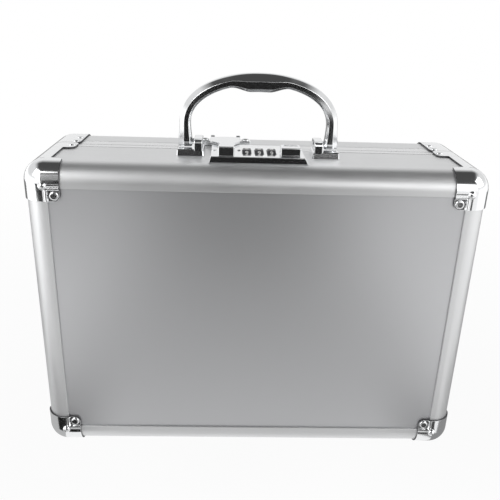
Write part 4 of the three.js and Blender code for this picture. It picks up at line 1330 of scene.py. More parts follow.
@dataclass(frozen=True)
class Hinges:
    """The two hinges under the case."""

    leaf: float = 1.2 * MM
    leaf_corner: float = 1.5 * MM
    knuckle_radius: float = 2.5 * MM
    knuckle: float = 13.2 * MM
    run: float = 0.3 * MM
    soft: float = 0.3 * MM
    screw_radius: float = 2.2 * MM
    screw_height: float = 0.8 * MM

    def hinge(self, side: str) -> list[Piece]:
        """One hinge: two leaves with their knuckles, their screws and the pin.

        Args:
            side: left or right.

        Returns:
            The pieces.
        """
        axis = joint_point("lid_hinge")
        centre = (axis.y, axis.z)
        pin = f"hinge_pin_{side}"
        radius, run, leaf = self.knuckle_radius, self.run, self.leaf
        left, right = box(f"hinge_leaf_base_{side}").x
        outer = [(left, left + self.knuckle), (right - self.knuckle, right)]
        inner = [(left + self.knuckle + run, right - self.knuckle - run)]
        head = dome(self.screw_radius, self.screw_height).mirrored(Axis.Z)
        made = []
        for half, body, inward, spans in (("base", Body.BASE, -1, outer), ("lid", Body.LID, 1, inner)):
            node = f"hinge_leaf_{half}_{side}"
            top = box(node).z[1]
            far = box(node).y[0 if inward < 0 else 1]
            near = axis.y + inward * (radius + run)
            web = sorted((axis.y, near + inward * run))
            reach = sorted((near, far))
            shapes = [block((left, right), reach, (top - leaf, top), self.leaf_corner, self.soft)]
            for span in spans:
                shapes.append(rod(Axis.X, radius, span, centre, self.soft))
                shapes.append(block(span, web, (top - leaf, axis.z + radius - self.soft / 3)))
            hole = bore(pin, (left, right), centre)
            made.append(Piece(f"{node}_plate", together(shapes), STEEL, body, [node], [hole]))
            spots = [mid((left, right)) + step * (right - left) / 3 for step in (-1, 0, 1)]
            screws = [head.moved(x, mid(reach), top - leaf + self.soft / 3) for x in spots]
            made.append(Piece(f"{node}_screws", together(screws), STEEL, body))
        return [*made, pin_rod(pin, Body.BASE, centre, self.soft)]

    def pieces(self) -> list[Piece]:
        """Both hinges."""
        return [*self.hinge("left"), *self.hinge("right")]


def nub_place() -> tuple[Pair, Pair]:
    """Where the nub under the hasp's tongue is, worked out from the lock's bolt beside it.

    Returns:
        Its span on X and on Y.
    """
    size, gap, back = 8.0 * MM, 0.4 * MM, 11.3 * MM
    right = box("latch_bolt").x[0] - gap
    rear = box("lock_plate").y[1] - back
    return (right - size, right), (rear - size, rear)


@dataclass(frozen=True)
class Lock:
    """The combination lock: housing, dials, slide button, bolt, spring and reset pin."""

    case: Case
    sheet: float = 1.0 * MM
    slope: float = 2.5 * MM
    edge: float = 0.5 * MM
    top_round: float = 0.8 * MM
    window: float = 0.4 * MM
    slot: float = 0.6 * MM
    slot_corner: float = 0.6 * MM
    pin_gap: float = 0.3 * MM
    pin_soft: float = 0.3 * MM
    travel: float = 4.0 * MM
    rivet: Pair = (1.9 * MM, 0.7 * MM)
    rivet_insets: Pair = (3.2 * MM, 4.4 * MM)
    rivet_y: Pair = (-21.0 * MM, -15.0 * MM)
    stem_reach: Pair = (2.75 * MM, 2.5 * MM)
    tray_wall: float = 1.2 * MM
    tray_corner: float = 2.0 * MM
    tray_soft: float = 0.4 * MM
    tray_drop: float = 1.5 * MM
    post: float = 1.8 * MM
    post_reach: float = 3.0 * MM
    post_rise: float = 2.4 * MM
    post_soft: float = 0.3 * MM
    facets: int = 10
    facet_steps: int = 12
    flat_share: float = 0.965
    wheel_soft: float = 0.6 * MM
    wheel_bore: float = 1.5 * MM
    digit_height: float = 3.4 * MM
    digit_raise: float = 0.04 * MM
    digit_bold: float = 0.04 * MM
    capital_share: float = 0.7
    button_gap: float = 0.3 * MM
    button_soft: float = 0.7 * MM
    button_lean: float = 0.7 * MM
    button_foot: Pair = (0.3 * MM, 1.2 * MM)
    button_ledge: float = 1.0 * MM
    button_radii: tuple[float, ...] = (0.3 * MM, 0.3 * MM, 1.2 * MM, 0.7 * MM, 0.3 * MM, 0.1 * MM)
    dish_margin: float = 1.6 * MM
    dish_depth: float = 0.5 * MM
    dish_corner: float = 1.0 * MM
    spring_curls: int = 7
    curl_steps: int = 24
    wire_sides: int = 10
    wire: float = 0.35 * MM

    def stem(self) -> tuple[Pair, Pair]:
        """Span of the slide button's stem on X and on Y."""
        span = box("slide_button")
        return around(mid(span.x), self.stem_reach[0]), around(mid(span.y), self.stem_reach[1])

    def housing(self) -> list[Piece]:
        """The chrome housing: a bar with slanted ends, hollowed, with windows and slots cut through its top.

        Returns:
            The housing and the rivets at its ends.
        """
        span = box("lock_plate")
        (left, right), (low, high) = span.x, span.z
        sheet_x = self.sheet + self.slope / 2
        corners = [(left, low), (right, low), (right - self.slope, high), (left + self.slope / 2, high)]
        outline = rounded(corners, [0, 0, self.top_round, self.top_round])
        deep = 2 * self.case.edge_radius
        above = (high - 2 * self.sheet, high + deep)
        hollow = (left + sheet_x, right - self.slope - sheet_x)
        cuts = [block(hollow, grown(span.y, -self.sheet), (low - deep, high - self.sheet))]
        axis = joint_point("dial_left_turn")
        for number in (1, 2, 3):
            dial = box(f"dial_{number}")
            radius = half_of(dial.z)
            drop = high - (dial.z[1] - radius)
            along = math.sqrt(radius**2 - (drop - self.sheet) ** 2) + self.window
            cuts.append(block(grown(dial.x, self.window), around(axis.y, along), above, self.slot_corner))
        stem_x, stem_y = self.stem()
        slit = grown((stem_x[0], stem_x[1] + self.travel), self.slot)
        cuts.append(block(slit, grown(stem_y, self.slot), above, self.slot_corner))
        nub_x, nub_y = nub_place()
        gap = (nub_y[0] - self.slot, span.y[1] + deep)
        cuts.append(block(grown(nub_x, self.slot), gap, (low + self.slot, high + deep)))
        pin = box("reset_pin")
        cuts.append(rod(Axis.Z, half_of(pin.x) + self.pin_gap, above, (mid(pin.x), mid(pin.y))))
        spots = zip((left + self.rivet_insets[0], right - self.rivet_insets[1]), self.rivet_y)
        heads = together([dome(*self.rivet).moved(*spot, high) for spot in spots])
        body = prism(outline, Axis.Y, span.y, self.edge)
        return [
            Piece("lock_housing", body, LOCK_CHROME, Body.BASE, ["lock_plate"], cuts),
            Piece("lock_housing_rivets", heads, LOCK_CHROME, Body.BASE),
        ]

    def tray(self) -> list[Piece]:
        """The tray under the housing with its posts, and the axle that the posts carry.

        Returns:
            The pieces.
        """
        span, (left, right) = box("lock_undercase"), box("dial_axle").x
        low, rim = span.z[0], self.case.top - self.tray_drop
        wall, soft, post = self.tray_wall, self.tray_soft, self.post
        outer = [(soft, low), (0, low + soft), (0, rim)]
        inner = [(wall, rim), (wall, low + wall + soft), (wall + soft, low + wall)]
        shapes = [carry(rectangle(span.x, span.y, self.tray_corner), outer + inner, Axis.Z)]
        axis = joint_point("dial_left_turn")
        deep, upright = around(axis.y, self.post_reach), (low + wall / 2, axis.z + self.post_rise)
        for start in (left, right - post):
            shapes.append(block((start, start + post), deep, upright, self.post_soft, self.post_soft))
        return [
            Piece("lock_tray", together(shapes), STEEL, Body.BASE, ["lock_undercase"]),
            pin_rod("dial_axle", Body.BASE, (axis.y, axis.z)),
        ]

    def wheel(self, dial: Box, centre: Vector) -> Shape:
        """A dial: ten flats for the digits, with round ridges between them.

        The radius is the flat's distance over the cosine of the angle from its middle, at most the full
        radius. Towards both sides it shrinks along a quarter round.

        Args:
            dial: The dial's box.
            centre: A point on its axis.

        Returns:
            The closed ring.
        """
        full, (left, right) = half_of(dial.z), dial.x
        step = 2 * np.pi / self.facets
        angle = np.linspace(0, 2 * np.pi, self.facets * self.facet_steps, endpoint=False)
        from_middle = (angle + step / 2) % step - step / 2
        radius = np.minimum(self.flat_share * full / np.cos(from_middle), full)
        turn = np.linspace(0, np.pi / 2, 6)
        draw = self.wheel_soft * (1 - np.sin(turn))
        rise = self.wheel_soft * (1 - np.cos(turn))
        hole = np.full((1, len(angle)), self.wheel_bore)
        rings = np.concatenate([hole, radius - np.append(draw, draw[::-1])[:, None], hole])
        places = np.concatenate([[left], left + rise, (right - rise)[::-1], [right]])[:, None]
        points = stacked(places, centre.y + rings * np.sin(angle), centre.z + rings * np.cos(angle))
        return surface(points, wrap_rows=True)

    def digits(self, dial: Box, centre: Vector) -> Shape:
        """The numbers 0 to 9 on the flats of one dial, each turned about the axis to its place.

        Args:
            dial: The dial's box.
            centre: A point on its axis.

        Returns:
            All digits in one shape.
        """
        shapes = []
        for number in range(self.facets):
            digit = self.digit(str(number)).moved(0, 0, self.flat_share * half_of(dial.z))
            turned = digit.turned(Axis.X, -360 / self.facets * number)
            shapes.append(turned.moved(mid(dial.x), centre.y, centre.z))
        return together(shapes)

    def digit(self, character: str) -> Shape:
        """One raised digit that lies on z = 0 and reads from above, with its foot towards the viewer.

        Args:
            character: The digit.

        Returns:
            Its closed shape.
        """
        text = bpy.data.curves.new("digit", "FONT")
        text.body = character
        text.size = self.digit_height / self.capital_share
        text.extrude = self.digit_raise
        text.offset = self.digit_bold
        text.resolution_u = 4
        text.align_x = "CENTER"
        text.align_y = "CENTER"
        holder = linked("digit", text)
        bpy.context.view_layer.update()
        mesh = evaluated(holder, "digit")
        points = np.empty(len(mesh.vertices) * 3)
        mesh.vertices.foreach_get("co", points)
        points = points.reshape(-1, 3)
        points[:, :2] -= (points[:, :2].min(axis=0) + points[:, :2].max(axis=0)) / 2
        return Shape(points, [list(polygon.vertices) for polygon in mesh.polygons])

    def dials(self) -> list[Piece]:
        """The three dials and their digits.

        Returns:
            The pieces.
        """
        made = []
        for number, body in enumerate((Body.DIAL_LEFT, Body.DIAL_MIDDLE, Body.DIAL_RIGHT), start=1):
            node = f"dial_{number}"
            place = box(node), joint_point(f"{body.value}_turn")
            made.append(Piece(f"{node}_wheel", self.wheel(*place), DIAL, body, [node]))
            made.append(Piece(f"{node}_digits", self.digits(*place), DIGIT, body))
        return made

    def button(self) -> Piece:
        """The slide button: a block on a narrow foot, with a raised rim around its top and a stem.

        Returns:
            The piece.
        """
        span = box("slide_button")
        (front, rear), top = span.y, span.z[1]
        under = box("lock_plate").z[1] + self.button_gap
        soft, margin = self.button_soft, -self.dish_margin
        step, rise = self.button_foot
        corners = [(front, under), (rear, under), (rear, top), (front + self.button_lean, top)]
        corners += [(front + step, under + rise), (front, under + self.button_ledge)]
        outline = rounded(corners, self.button_radii, steps=6)
        shape = prism(outline, Axis.X, span.x, soft) + block(*self.stem(), (span.z[0], under + soft))
        deep = (top - self.dish_depth, top + 10 * self.dish_depth)
        dish = block(grown(span.x, margin), grown(span.y, margin), deep, self.dish_corner)
        return Piece("slide_button_cap", shape, LOCK_CHROME, Body.SLIDE, ["slide_button"], [dish])

    def works(self) -> Piece:
        """Dresses the bolt, which stays as it is packed, and makes the reset pin.

        Returns:
            The pin.
        """
        for place in frame["nodes"]["latch_bolt"].material_slots:
            place.material = STEEL.material()
        span = box("reset_pin")
        pin = rod(Axis.Z, half_of(span.x), span.z, (mid(span.x), mid(span.y)), self.pin_soft)
        return Piece("reset_pin_rod", pin, STEEL, Body.RESET, ["reset_pin"])

    def spring(self) -> None:
        """Builds the spring, whose wire follows a helix along X, and gives it a mesh of its own.

        The wire's centre turns evenly with its length, and its section is set out along the helix' radius
        and the direction square to the radius and the wire.
        """
        span = box("slide_spring")
        low, high = span.x
        radius, length = half_of(span.z) - self.wire, high - low - 2 * self.wire
        share = np.linspace(0, 1, self.spring_curls * self.curl_steps + 1)
        angle = 2 * np.pi * self.spring_curls * share
        outward = stacked(0.0, np.cos(angle), np.sin(angle))
        onward = stacked(0.0, -np.sin(angle), np.cos(angle))
        middle = (low + self.wire, mid(span.y), mid(span.z))
        line = np.array(middle) + radius * outward + stacked(length * share, 0.0, 0.0)
        pitch = length / (2 * np.pi * self.spring_curls)
        square = np.cross(unit(radius * onward + np.array([pitch, 0, 0])), outward)
        turn = np.linspace(0, 2 * np.pi, self.wire_sides, endpoint=False)[:, None]
        wire = self.wire * (np.cos(turn) * outward[:, None] + np.sin(turn) * square[:, None])
        shape = surface(line[:, None] + wire)
        made = Piece("slide_spring_wire", shape, STEEL, Body.BASE, ["slide_spring"]).place()
        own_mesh(made)

    def pieces(self) -> list[Piece]:
        """All rigid pieces of the lock."""
        return [*self.housing(), *self.tray(), *self.dials(), self.button(), self.works()]


@dataclass(frozen=True)
class Hasp:
    """The hasp on the lid: block, barrel, tongue, pin and rivets."""

    ear_radius: float = 2.9 * MM
    ear_width: float = 3.2 * MM
    barrel_radius: float = 2.8 * MM
    run: float = 0.3 * MM
    soft: float = 0.5 * MM
    sheet: float = 1.8 * MM
    tongue_margin: Pair = (7.2 * MM, 4.5 * MM)
    tongue_soft: float = 0.7 * MM
    tongue_rise: float = 0.2 * MM
    shoulder: float = 22.0 * MM
    shoulder_run: Pair = (3.0 * MM, 4.0 * MM)
    overlap: float = 0.1 * MM
    plan_radii: tuple[float, ...] = (0.8 * MM, 0.8 * MM, 5.0 * MM, 0.5 * MM, 0.5 * MM, 5.0 * MM)
    nose: float = 8.0 * MM
    nose_lean: float = 0.7 * MM
    nose_radii: tuple[float, ...] = (0.4 * MM, 0, 0.3 * MM, 8.0 * MM, 8.0 * MM, 4.0 * MM, 0.9 * MM)
    nub_depth: float = 3.7 * MM
    nub_corner: float = 0.6 * MM
    nub_soft: float = 0.4 * MM
    bar_corner: float = 1.2 * MM
    rivet_gap: float = 0.1 * MM
    room: float = 20 * MM

    def block(self) -> list[Piece]:
        """The block on the lid, with a notch below the barrel, two ears around the pin, and two rivets.

        Returns:
            The pieces.
        """
        span, axis = box("hasp_block"), joint_point("hasp_hinge")
        centre, width = (axis.y, axis.z), self.ear_width
        top = box("hasp_rivet_left").z[0] - self.rivet_gap
        left, right = box("hasp_pin").x
        below = (axis.z - self.barrel_radius - self.run, top + self.room)
        notch = block(grown((left, right), -width), grown(span.y, self.room), below)
        bar = block(span.x, span.y, (span.z[0], top), self.bar_corner, self.soft)
        spans = ((left, left + width), (right - width, right))
        ears = [rod(Axis.X, self.ear_radius, ear, centre, self.soft) for ear in spans]
        made = [
            Piece("hasp_base", bar, HASP_CHROME, Body.LID, ["hasp_block"], [notch]),
            Piece("hasp_ears", together(ears), HASP_CHROME, Body.LID),
            pin_rod("hasp_pin", Body.LID, centre),
        ]
        for side in ("left", "right"):
            node = f"hasp_rivet_{side}"
            rivet = box(node)
            head = dome(half_of(rivet.x), rivet.z[1] - rivet.z[0])
            head = head.moved(mid(rivet.x), mid(rivet.y), rivet.z[0])
            made.append(Piece(f"{node}_head", head, HASP_CHROME, Body.LID, [node]))
        return made

    def tongue(self) -> Piece:
        """The tongue: a barrel, a level sheet that narrows at a shoulder, a swollen nose and a nub below.

        Seen from the side, the nose rises from the sheet in two long rounds to a front that leans back.

        Returns:
            The piece.
        """
        span, axis = box("hasp_tongue"), joint_point("hasp_hinge")
        centre, tip, top = (axis.y, axis.z), span.y[0], span.z[1]
        left, right = box("hasp_pin").x
        under = box("lock_plate").z[1] + self.run
        over = under + self.sheet
        rear = axis.y - self.ear_radius - self.run
        nose = self.nose
        corners = [(tip, under), (rear, under), (rear, over + self.tongue_rise), (tip + 3 * nose, over)]
        corners += [(tip + 2 * nose, over + (top - over) / 3), (tip + nose, top), (tip + self.nose_lean, top)]
        sides = (left + self.tongue_margin[0], right - self.tongue_margin[1])
        narrow = prism(rounded(corners, self.nose_radii, steps=8), Axis.X, sides, self.tongue_soft)
        front = axis.y - self.shoulder
        start, full = front - self.shoulder_run[0], front + self.shoulder_run[1]
        near = grown(sides, self.overlap)
        corners = [(near[0], start), (near[1], start), (right, full), (right, rear)]
        plan = rounded([*corners, (left, rear), (left, full)], self.plan_radii, steps=8)
        wide = prism(plan, Axis.Z, (under, over + self.overlap), self.soft)
        knuckle = grown((left, right), -self.ear_width - self.run)
        barrel = rod(Axis.X, self.barrel_radius, knuckle, centre, self.soft)
        neck = block(knuckle, (rear - self.soft, axis.y), (under, over), 0.0, self.soft)
        upright = (under - self.nub_depth, under + self.soft)
        nub = block(*nub_place(), upright, self.nub_corner, self.nub_soft)
        shape = together([narrow, wide, barrel, neck, nub])
        hole = bore("hasp_pin", (left, right), centre)
        return Piece("hasp_tongue_cast", shape, HASP_CHROME, Body.HASP, ["hasp_tongue"], [hole])

    def pieces(self) -> list[Piece]:
        """All pieces of the hasp."""
        return [*self.block(), self.tongue()]


def smooth_step(share: np.ndarray) -> np.ndarray:
    """Rise from 0 to 1 that starts and ends level."""
    return share * share * (3 - 2 * share)


@dataclass(frozen=True)
class Handle:
    """The carrying handle with its two brackets and pins."""

    case: Case
    half_width: float = 54.6 * MM
    leg_top: float = 22.0 * MM
    crown: float = 59.6 * MM
    squareness: float = 2.15
    ridge_round: float = 0.95
    foot_thickness: float = 10.6 * MM
    foot_taper: float = 1.2 * MM
    foot_start: float = 84.0
    leg_thickness: float = 8.2 * MM
    grip_thickness: float = 13.0 * MM
    grip_half: float = 7.0 * MM
    grip_end: float = 24.0 * MM
    leg_depth: float = 9.0 * MM
    grip_depth: float = 15.0 * MM
    ridge_share: float = 0.12
    slant_share: float = 0.42
    bevel_share: float = 0.17
    edge_soft: float = 0.5 * MM
    plate_height: float = 4.7 * MM
    plate_corner: float = 1.6 * MM
    plate_draft: float = 10.0
    post_draft: float = 8.0
    post_width: float = 6.2 * MM
    post_inset: float = 0.5 * MM
    post_round: float = 4.0 * MM
    post_start: float = 1.0 * MM
    bracket_soft: float = 0.6 * MM
    rivet: Pair = (1.9 * MM, 0.3 * MM)
    rivet_insets: Pair = (4.4 * MM, 3.2 * MM)
    foot_steps: int = 8
    leg_steps: int = 10
    arch_steps: int = 48

    def stations(self) -> np.ndarray:
        """The right half's outer line from the foot's tip to the middle of the crown.

        The foot shrinks below the pivot as a round end does, and the leg rises straight. The rest of the
        outer line is a quarter of a squared ellipse, x^n / a^n + z^n / b^n = 1, whose slope is that of its
        gradient. The thickness grows inwards over the grip by a smooth step.

        Returns:
            Rows of x, z, slope of the outward side in radians, thickness and depth.
        """
        pivot = joint_point("handle_pivot").z
        leg, depth, power = self.leg_thickness, self.leg_depth, self.squareness
        start, high = self.case.top + self.leg_top, self.crown - self.leg_top
        low = np.linspace(np.radians(self.foot_start), 0, self.foot_steps, endpoint=False)
        thick = self.foot_thickness - self.foot_taper * np.sin(low) ** 6
        place = (self.half_width + thick / 2, pivot - depth / 2 * np.sin(low))
        foot = stacked(*place, 0.0, thick, depth * np.cos(low) ** 0.8)
        share = np.linspace(0, 1, self.leg_steps, endpoint=False)
        thick = leg + (self.foot_thickness - leg) * (1 - share) ** 1.6
        shaft = stacked(self.half_width + thick / 2, pivot + share * (start - pivot), 0.0, thick, depth)
        angle = np.linspace(0, np.pi / 2, self.arch_steps)
        outer = self.half_width + leg / 2
        across, up = np.cos(angle).clip(0) ** (2 / power), np.sin(angle) ** (2 / power)
        slope = np.arctan2(up ** (power - 1) / high, across ** (power - 1) / outer)
        inward = np.clip((self.grip_end - outer * across) / (self.grip_end - self.grip_half), 0, 1)
        thick = leg + (self.grip_thickness - leg) * smooth_step(inward)
        deep = depth + (self.grip_depth - depth) * smooth_step(angle / (np.pi / 2))
        return np.concatenate([foot, shaft, stacked(outer * across, start + high * up, slope, thick, deep)])

    def arch(self) -> Piece:
        """The handle: its section carried inside its outer line, from one foot to the other.

        Returns:
            The piece.
        """
        right = self.stations()
        left = right[-2::-1] * [-1, 1, -1, 1, 1] + [0, 0, np.pi, 0, 0]
        y = joint_point("handle_pivot").y
        rings = []
        for x, z, slope, thickness, depth in np.concatenate([right, left]):
            away, across = self.section(thickness, depth).T
            rings.append(stacked(x + away * np.cos(slope), y + across, z + away * np.sin(slope)))
        shape = surface(np.stack(rings))
        return Piece("handle_arch", shape, GRIP_CHROME, Body.HANDLE, ["handle"], sharp=50.0)

    def section(self, thickness: float, depth: float) -> np.ndarray:
        """Section with a round ridge outside, wide slants, upright faces and narrow bevels inside.

        Args:
            thickness: Its size away from the handle's opening.
            depth: Its size along Y.

        Returns:
            Outline as rows of away, which is 0 at the ridge, and across.
        """
        deep, ridge, slant = depth / 2, self.ridge_share * depth, self.slant_share * thickness
        bevel = min(self.bevel_share * thickness, deep / 2)
        side = [(0, ridge), (-slant, deep), (bevel - thickness, deep), (-thickness, deep - bevel)]
        corners = [(0, -ridge), *side, *[(away, -across) for away, across in side[:0:-1]]]
        round_top = self.ridge_round * ridge / math.tan(math.atan2(slant, deep - ridge) / 2)
        return rounded(corners, [round_top, round_top, *[min(self.edge_soft, deep / 2)] * 6])

    def brackets(self) -> list[Piece]:
        """Each bracket is a plate with slanted sides and a post with a round top beside the handle's foot.

        Returns:
            The brackets, their rivets and the pins, each with its left twin.
        """
        span, pivot = box("handle_bracket_right"), joint_point("handle_pivot")
        plate_top, soft = self.case.top + self.plate_height, self.bracket_soft
        height = plate_top - span.z[0]
        lean = height * math.tan(math.radians(self.plate_draft))
        rise = [(0, span.z[0]), (lean * (1 - soft / height), plate_top - soft), (lean + soft, plate_top)]
        plate = carry(rectangle(span.x, span.y, self.plate_corner), rise, Axis.Z)
        lean = (span.z[1] - plate_top) * math.tan(math.radians(self.post_draft))
        (front, rear), low = grown(span.y, -self.post_inset), plate_top - self.post_start
        corners = [(front, low), (rear, low), (rear - lean, span.z[1]), (front + lean, span.z[1])]
        outline = rounded(corners, [0, 0, self.post_round, self.post_round], steps=10)
        start = span.x[0] + self.post_inset + self.post_start
        post = prism(outline, Axis.X, (start, start + self.post_width), soft)
        spots = (span.y[0] + self.rivet_insets[0], span.y[1] - self.rivet_insets[1])
        rivets = together([dome(*self.rivet).moved(self.half_width, y, plate_top) for y in spots])
        pin = pin_rod("handle_pin_right", Body.BASE, (pivot.y, pivot.z)).shape
        made = []
        for side in ("right", "left"):
            for name, shape, finish, nodes in (
                (f"handle_bracket_{side}_cast", plate + post, GRIP_CHROME, [f"handle_bracket_{side}"]),
                (f"handle_bracket_{side}_rivets", rivets, GRIP_CHROME, []),
                (f"handle_pin_{side}_rod", pin, STEEL, [f"handle_pin_{side}"]),
            ):
                shape = shape.mirrored(Axis.X) if side == "left" else shape
                made.append(Piece(name, shape, finish, Body.BASE, nodes))
        return made

    def pieces(self) -> list[Piece]:
        """All pieces of the handle."""
        return [self.arch(), *self.brackets()]


# Studio

# Heights of the floor and of what lies on it, and the place of the flags in front
FLOOR = -110 * MM
MAT = FLOOR + 3 * MM
LOW_FLAG = FLOOR + 5 * MM
HIGH_FLAG = FLOOR + 6 * MM
FRONT = -0.72

# Each card's ends on X, Y and Z, with one place on the axis that it faces, and its brightness in reflections
CARDS = {
    "flag_front": ((-0.2, 0.2), (FRONT,), (-0.108, 0.1), 0.012),
    "flag_front_high": ((-0.38, 0.34), (FRONT,), (0.1, 0.36), 0.012),
    "flag_front_left": ((-0.95, -0.3), (FRONT,), (-0.06, 0.08), 0.012),
    "flag_front_right": ((0.37, 0.52), (FRONT,), (-0.05, 0.05), 0.012),
    "flag_camera": ((-0.42, 0.1), (FRONT,), (0.36, 0.72), 0.28),
    "mat_far": ((-0.24, 0.27), (-0.71, -0.4), (MAT,), 0.4),
    "mat_middle": ((-0.24, 0.26), (-0.4, -0.27), (MAT,), 0.52),
    "mat_near": ((-0.14, 0.15), (-0.27, -0.08), (MAT,), 0.66),
    "flag_low_left": ((-0.5, -0.165), (-0.265, -0.14), (LOW_FLAG,), 0.012),
    "flag_low_right": ((0.17, 0.25), (-0.26, -0.17), (HIGH_FLAG,), 0.05),
    "flag_near_left": ((-0.5, -0.19), (-0.139, 0.25), (LOW_FLAG,), 0.5),
    "flag_near_right": ((0.19, 0.5), (-0.17, 0.25), (LOW_FLAG,), 0.28),
    "flag_left": ((-1.4, -0.24), (0.02, 1.2), (MAT,), 0.2),
    "flag_right": ((0.24, 1.4), (0.02, 1.2), (MAT,), 0.2),
    "flag_back": ((-1.4, 1.4), (1.21,), (-0.108, 0.2), 0.3),
    "reflector_left": ((-0.8,), (-0.58, -0.15), (-0.1, 0.3), 1.95),
    "reflector_left_soft": ((-0.8,), (-0.15, 0.25), (-0.1, 0.3), 1.2),
    "reflector_right": ((0.8,), (-0.55, 0.25), (-0.1, 0.3), 1.2),
}

# Place around the ring and brightness there, between white ends
RING = (
    (0.12, 0.6),
    (0.3, 0.8),
    (0.5, 0.9),
    (0.63, 0.9),
    (0.695, 0.07),
    (0.89, 0.07),
    (0.91, 2.0),
    (0.98, 2.0),
)


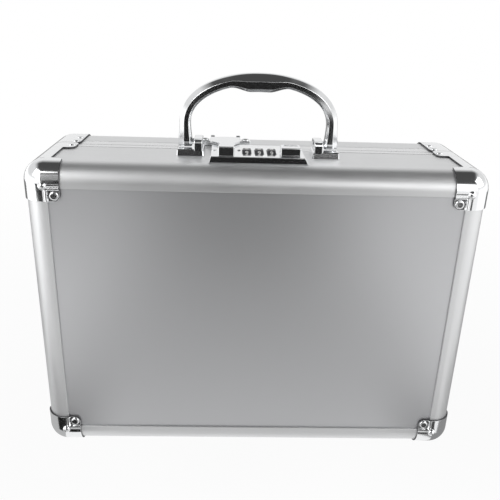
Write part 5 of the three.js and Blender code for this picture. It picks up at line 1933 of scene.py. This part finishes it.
@dataclass(frozen=True)
class Studio:
    """Camera, floor and light."""

    eye: tuple[float, float, float] = (-18.96 * MM, -465.37 * MM, 348.37 * MM)
    turn: tuple[float, float, float] = (67.912, -1.663, -1.251)
    lens: float = 43.96
    sensor: float = 36.0
    floor_half: float = 4.0
    shadow: Pair = (0.35, 1.3)
    aim: tuple[float, float, float] = (0, 0, 0.12)

    def camera(self) -> None:
        """Adds the camera at the photograph's place and angle."""
        data = bpy.data.cameras.new("camera")
        data.lens = self.lens
        data.sensor_width = self.sensor
        data.clip_start = 10 * MM
        made = linked("camera", data)
        made.location = self.eye
        made.rotation_euler = Euler([math.radians(angle) for angle in self.turn], "XYZ")
        bpy.context.scene.camera = made

    def flat(
        self, x: Sequence[float], y: Sequence[float], z: Sequence[float], material: bpy.types.Material
    ) -> bpy.types.Object:
        """Adds a rectangle that has its material's name.

        Args:
            x: Its ends on X, or its one place there.
            y: The same on Y.
            z: The same on Z.
            material: What it is made of.

        Returns:
            The object.
        """
        points = np.array([(a, b, c) for c in z for b in y for a in x]).reshape(2, 2, 3)
        mesh = mesh_of(material.name, sheet(points), closed=False)
        mesh.materials.append(material)
        made = linked(material.name, mesh)
        return made

    def floor(self) -> None:
        """Adds the pale floor, which fades to plain white away from the object's shadow."""
        material = bpy.data.materials.new("floor")
        nodes = emptied(material)
        plain = nodes.add("ShaderNodeBsdfDiffuse", inputs={"Color": (0.9, 0.9, 0.9, 1)})
        glow = nodes.add("ShaderNodeEmission", inputs={"Color": WHITE, "Strength": 1.0})
        seen = nodes.add("ShaderNodeLightPath").outputs
        away = nodes.add("ShaderNodeVectorMath", {"operation": "LENGTH"}, {0: nodes.place()}).outputs[1]
        white = nodes.remap(away, self.shadow, (0.9, 1.0))
        ray = nodes.maths("MAXIMUM", seen["Is Camera Ray"], seen["Is Glossy Ray"])
        ray = nodes.maths("MAXIMUM", ray, seen["Is Transmission Ray"])
        share = nodes.maths("MULTIPLY", ray, white)
        mixed = nodes.add("ShaderNodeMixShader", inputs={0: share, 1: plain.outputs[0], 2: glow.outputs[0]})
        nodes.add("ShaderNodeOutputMaterial", inputs={"Surface": mixed.outputs[0]})
        reach = around(0.0, self.floor_half)
        self.flat(reach, reach, (FLOOR,), material)

    def cards(self) -> None:
        """Adds plain cards that only reflections see, as a photographer's flags, mats and reflectors."""
        for name, (x, y, z, shade) in CARDS.items():
            material = bpy.data.materials.new(name)
            nodes = emptied(material)
            glow = nodes.add("ShaderNodeEmission", inputs={"Color": WHITE, "Strength": shade})
            nodes.add("ShaderNodeOutputMaterial", inputs={"Surface": glow.outputs[0]})
            made = self.flat(x, y, z, material)
            made.visible_camera = False
            made.visible_diffuse = False
            made.visible_shadow = False
            made.visible_transmission = False

    def world(self) -> None:
        """Sets the surroundings: white to the camera, and a ring of studio brightness to reflections.

        The ring runs around X: from the viewer's side below, under the object, to the far side, overhead
        and back to the viewer's side above.
        """
        world = bpy.data.worlds.new("studio")
        bpy.context.scene.world = world
        nodes = emptied(world)
        place = nodes.add("ShaderNodeTexCoord").outputs["Generated"]
        parts = nodes.add("ShaderNodeSeparateXYZ", inputs={0: place}).outputs
        angle = nodes.maths("ARCTAN2", parts["Z"], parts["Y"])
        turn = nodes.remap(angle, (-math.pi, math.pi), (0.0, 1.0))
        ramp = nodes.add("ShaderNodeValToRGB", inputs={0: turn})
        stops = ramp.color_ramp.elements
        stops[0].color = WHITE
        for position, level in RING:
            stops.new(position).color = (level, level, level, 1)
        ring = ramp.outputs[0]
        for edge, bright in (((0.5, 0.72), 1.1), ((-0.48, -0.68), 1.7)):
            side = nodes.remap(parts["X"], edge, (0.0, 1.0))
            ring = nodes.blend(side, ring, nodes.remap(parts["Z"], (0.0, 0.3), (bright, 0.8)))
        light = nodes.add("ShaderNodeBackground", inputs={"Color": ring, "Strength": 1.0})
        white = nodes.add("ShaderNodeBackground", inputs={"Color": WHITE, "Strength": 1.0})
        seen = nodes.add("ShaderNodeLightPath").outputs["Is Camera Ray"]
        mixed = nodes.add("ShaderNodeMixShader", inputs={0: seen, 1: light.outputs[0], 2: white.outputs[0]})
        nodes.add("ShaderNodeOutputWorld", inputs={"Surface": mixed.outputs[0]})

    def lamp(self, name: str, at: Sequence[float], size: float, power: float) -> None:
        """Adds a square soft box that faces the case's middle.

        Args:
            name: Its name.
            at: Where it stands.
            size: Its side.
            power: Its power in watts.
        """
        data = bpy.data.lights.new(name, "AREA")
        data.size = size
        data.energy = power
        made = linked(name, data)
        made.location = at
        toward = Vector(self.aim) - Vector(at)
        made.rotation_euler = toward.to_track_quat("-Z", "Y").to_euler()

    def build(self) -> None:
        """Sets up everything around the object."""
        bpy.context.scene.view_settings.view_transform = "Standard"
        self.camera()
        self.floor()
        self.cards()
        self.world()
        self.lamp("soft_box_left", (-1.1, -0.9, 1.2), 0.9, 9.0)
        self.lamp("soft_box_right", (1.3, -0.5, 1.0), 0.9, 6.0)


def place_all(*parts: Shell | Dividers | Corners | Hinges | Lock | Hasp | Handle) -> None:
    """Places every piece of each sub-assembly.

    Args:
        parts: The sub-assemblies in order.
    """
    for part in parts:
        for piece in part.pieces():
            piece.place()


def main() -> None:
    """Builds the studio and every piece of the case."""
    logging.basicConfig(level=logging.INFO, format="%(message)s")
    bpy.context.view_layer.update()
    Studio().build()
    case = Case()
    base = Half("base", Body.BASE, case.front, 1, case.base_seam - case.front, rim_width=8.5 * MM)
    lid = Half("lid", Body.LID, case.back, -1, case.back - case.lid_seam, rim_width=11.5 * MM)
    base_corners = Corners(case, base, rivets=[58.2 * MM], notched=True)
    lid_corners = Corners(case, lid, rivets=[25.2 * MM, 38.2 * MM], notched=False)
    lock = Lock(case)
    place_all(Shell(case, base), Shell(case, lid), Dividers(), base_corners, lid_corners, Hinges(), lock)
    lock.spring()
    place_all(Hasp(), Handle(case))


if __name__ == "__main__":
    main()
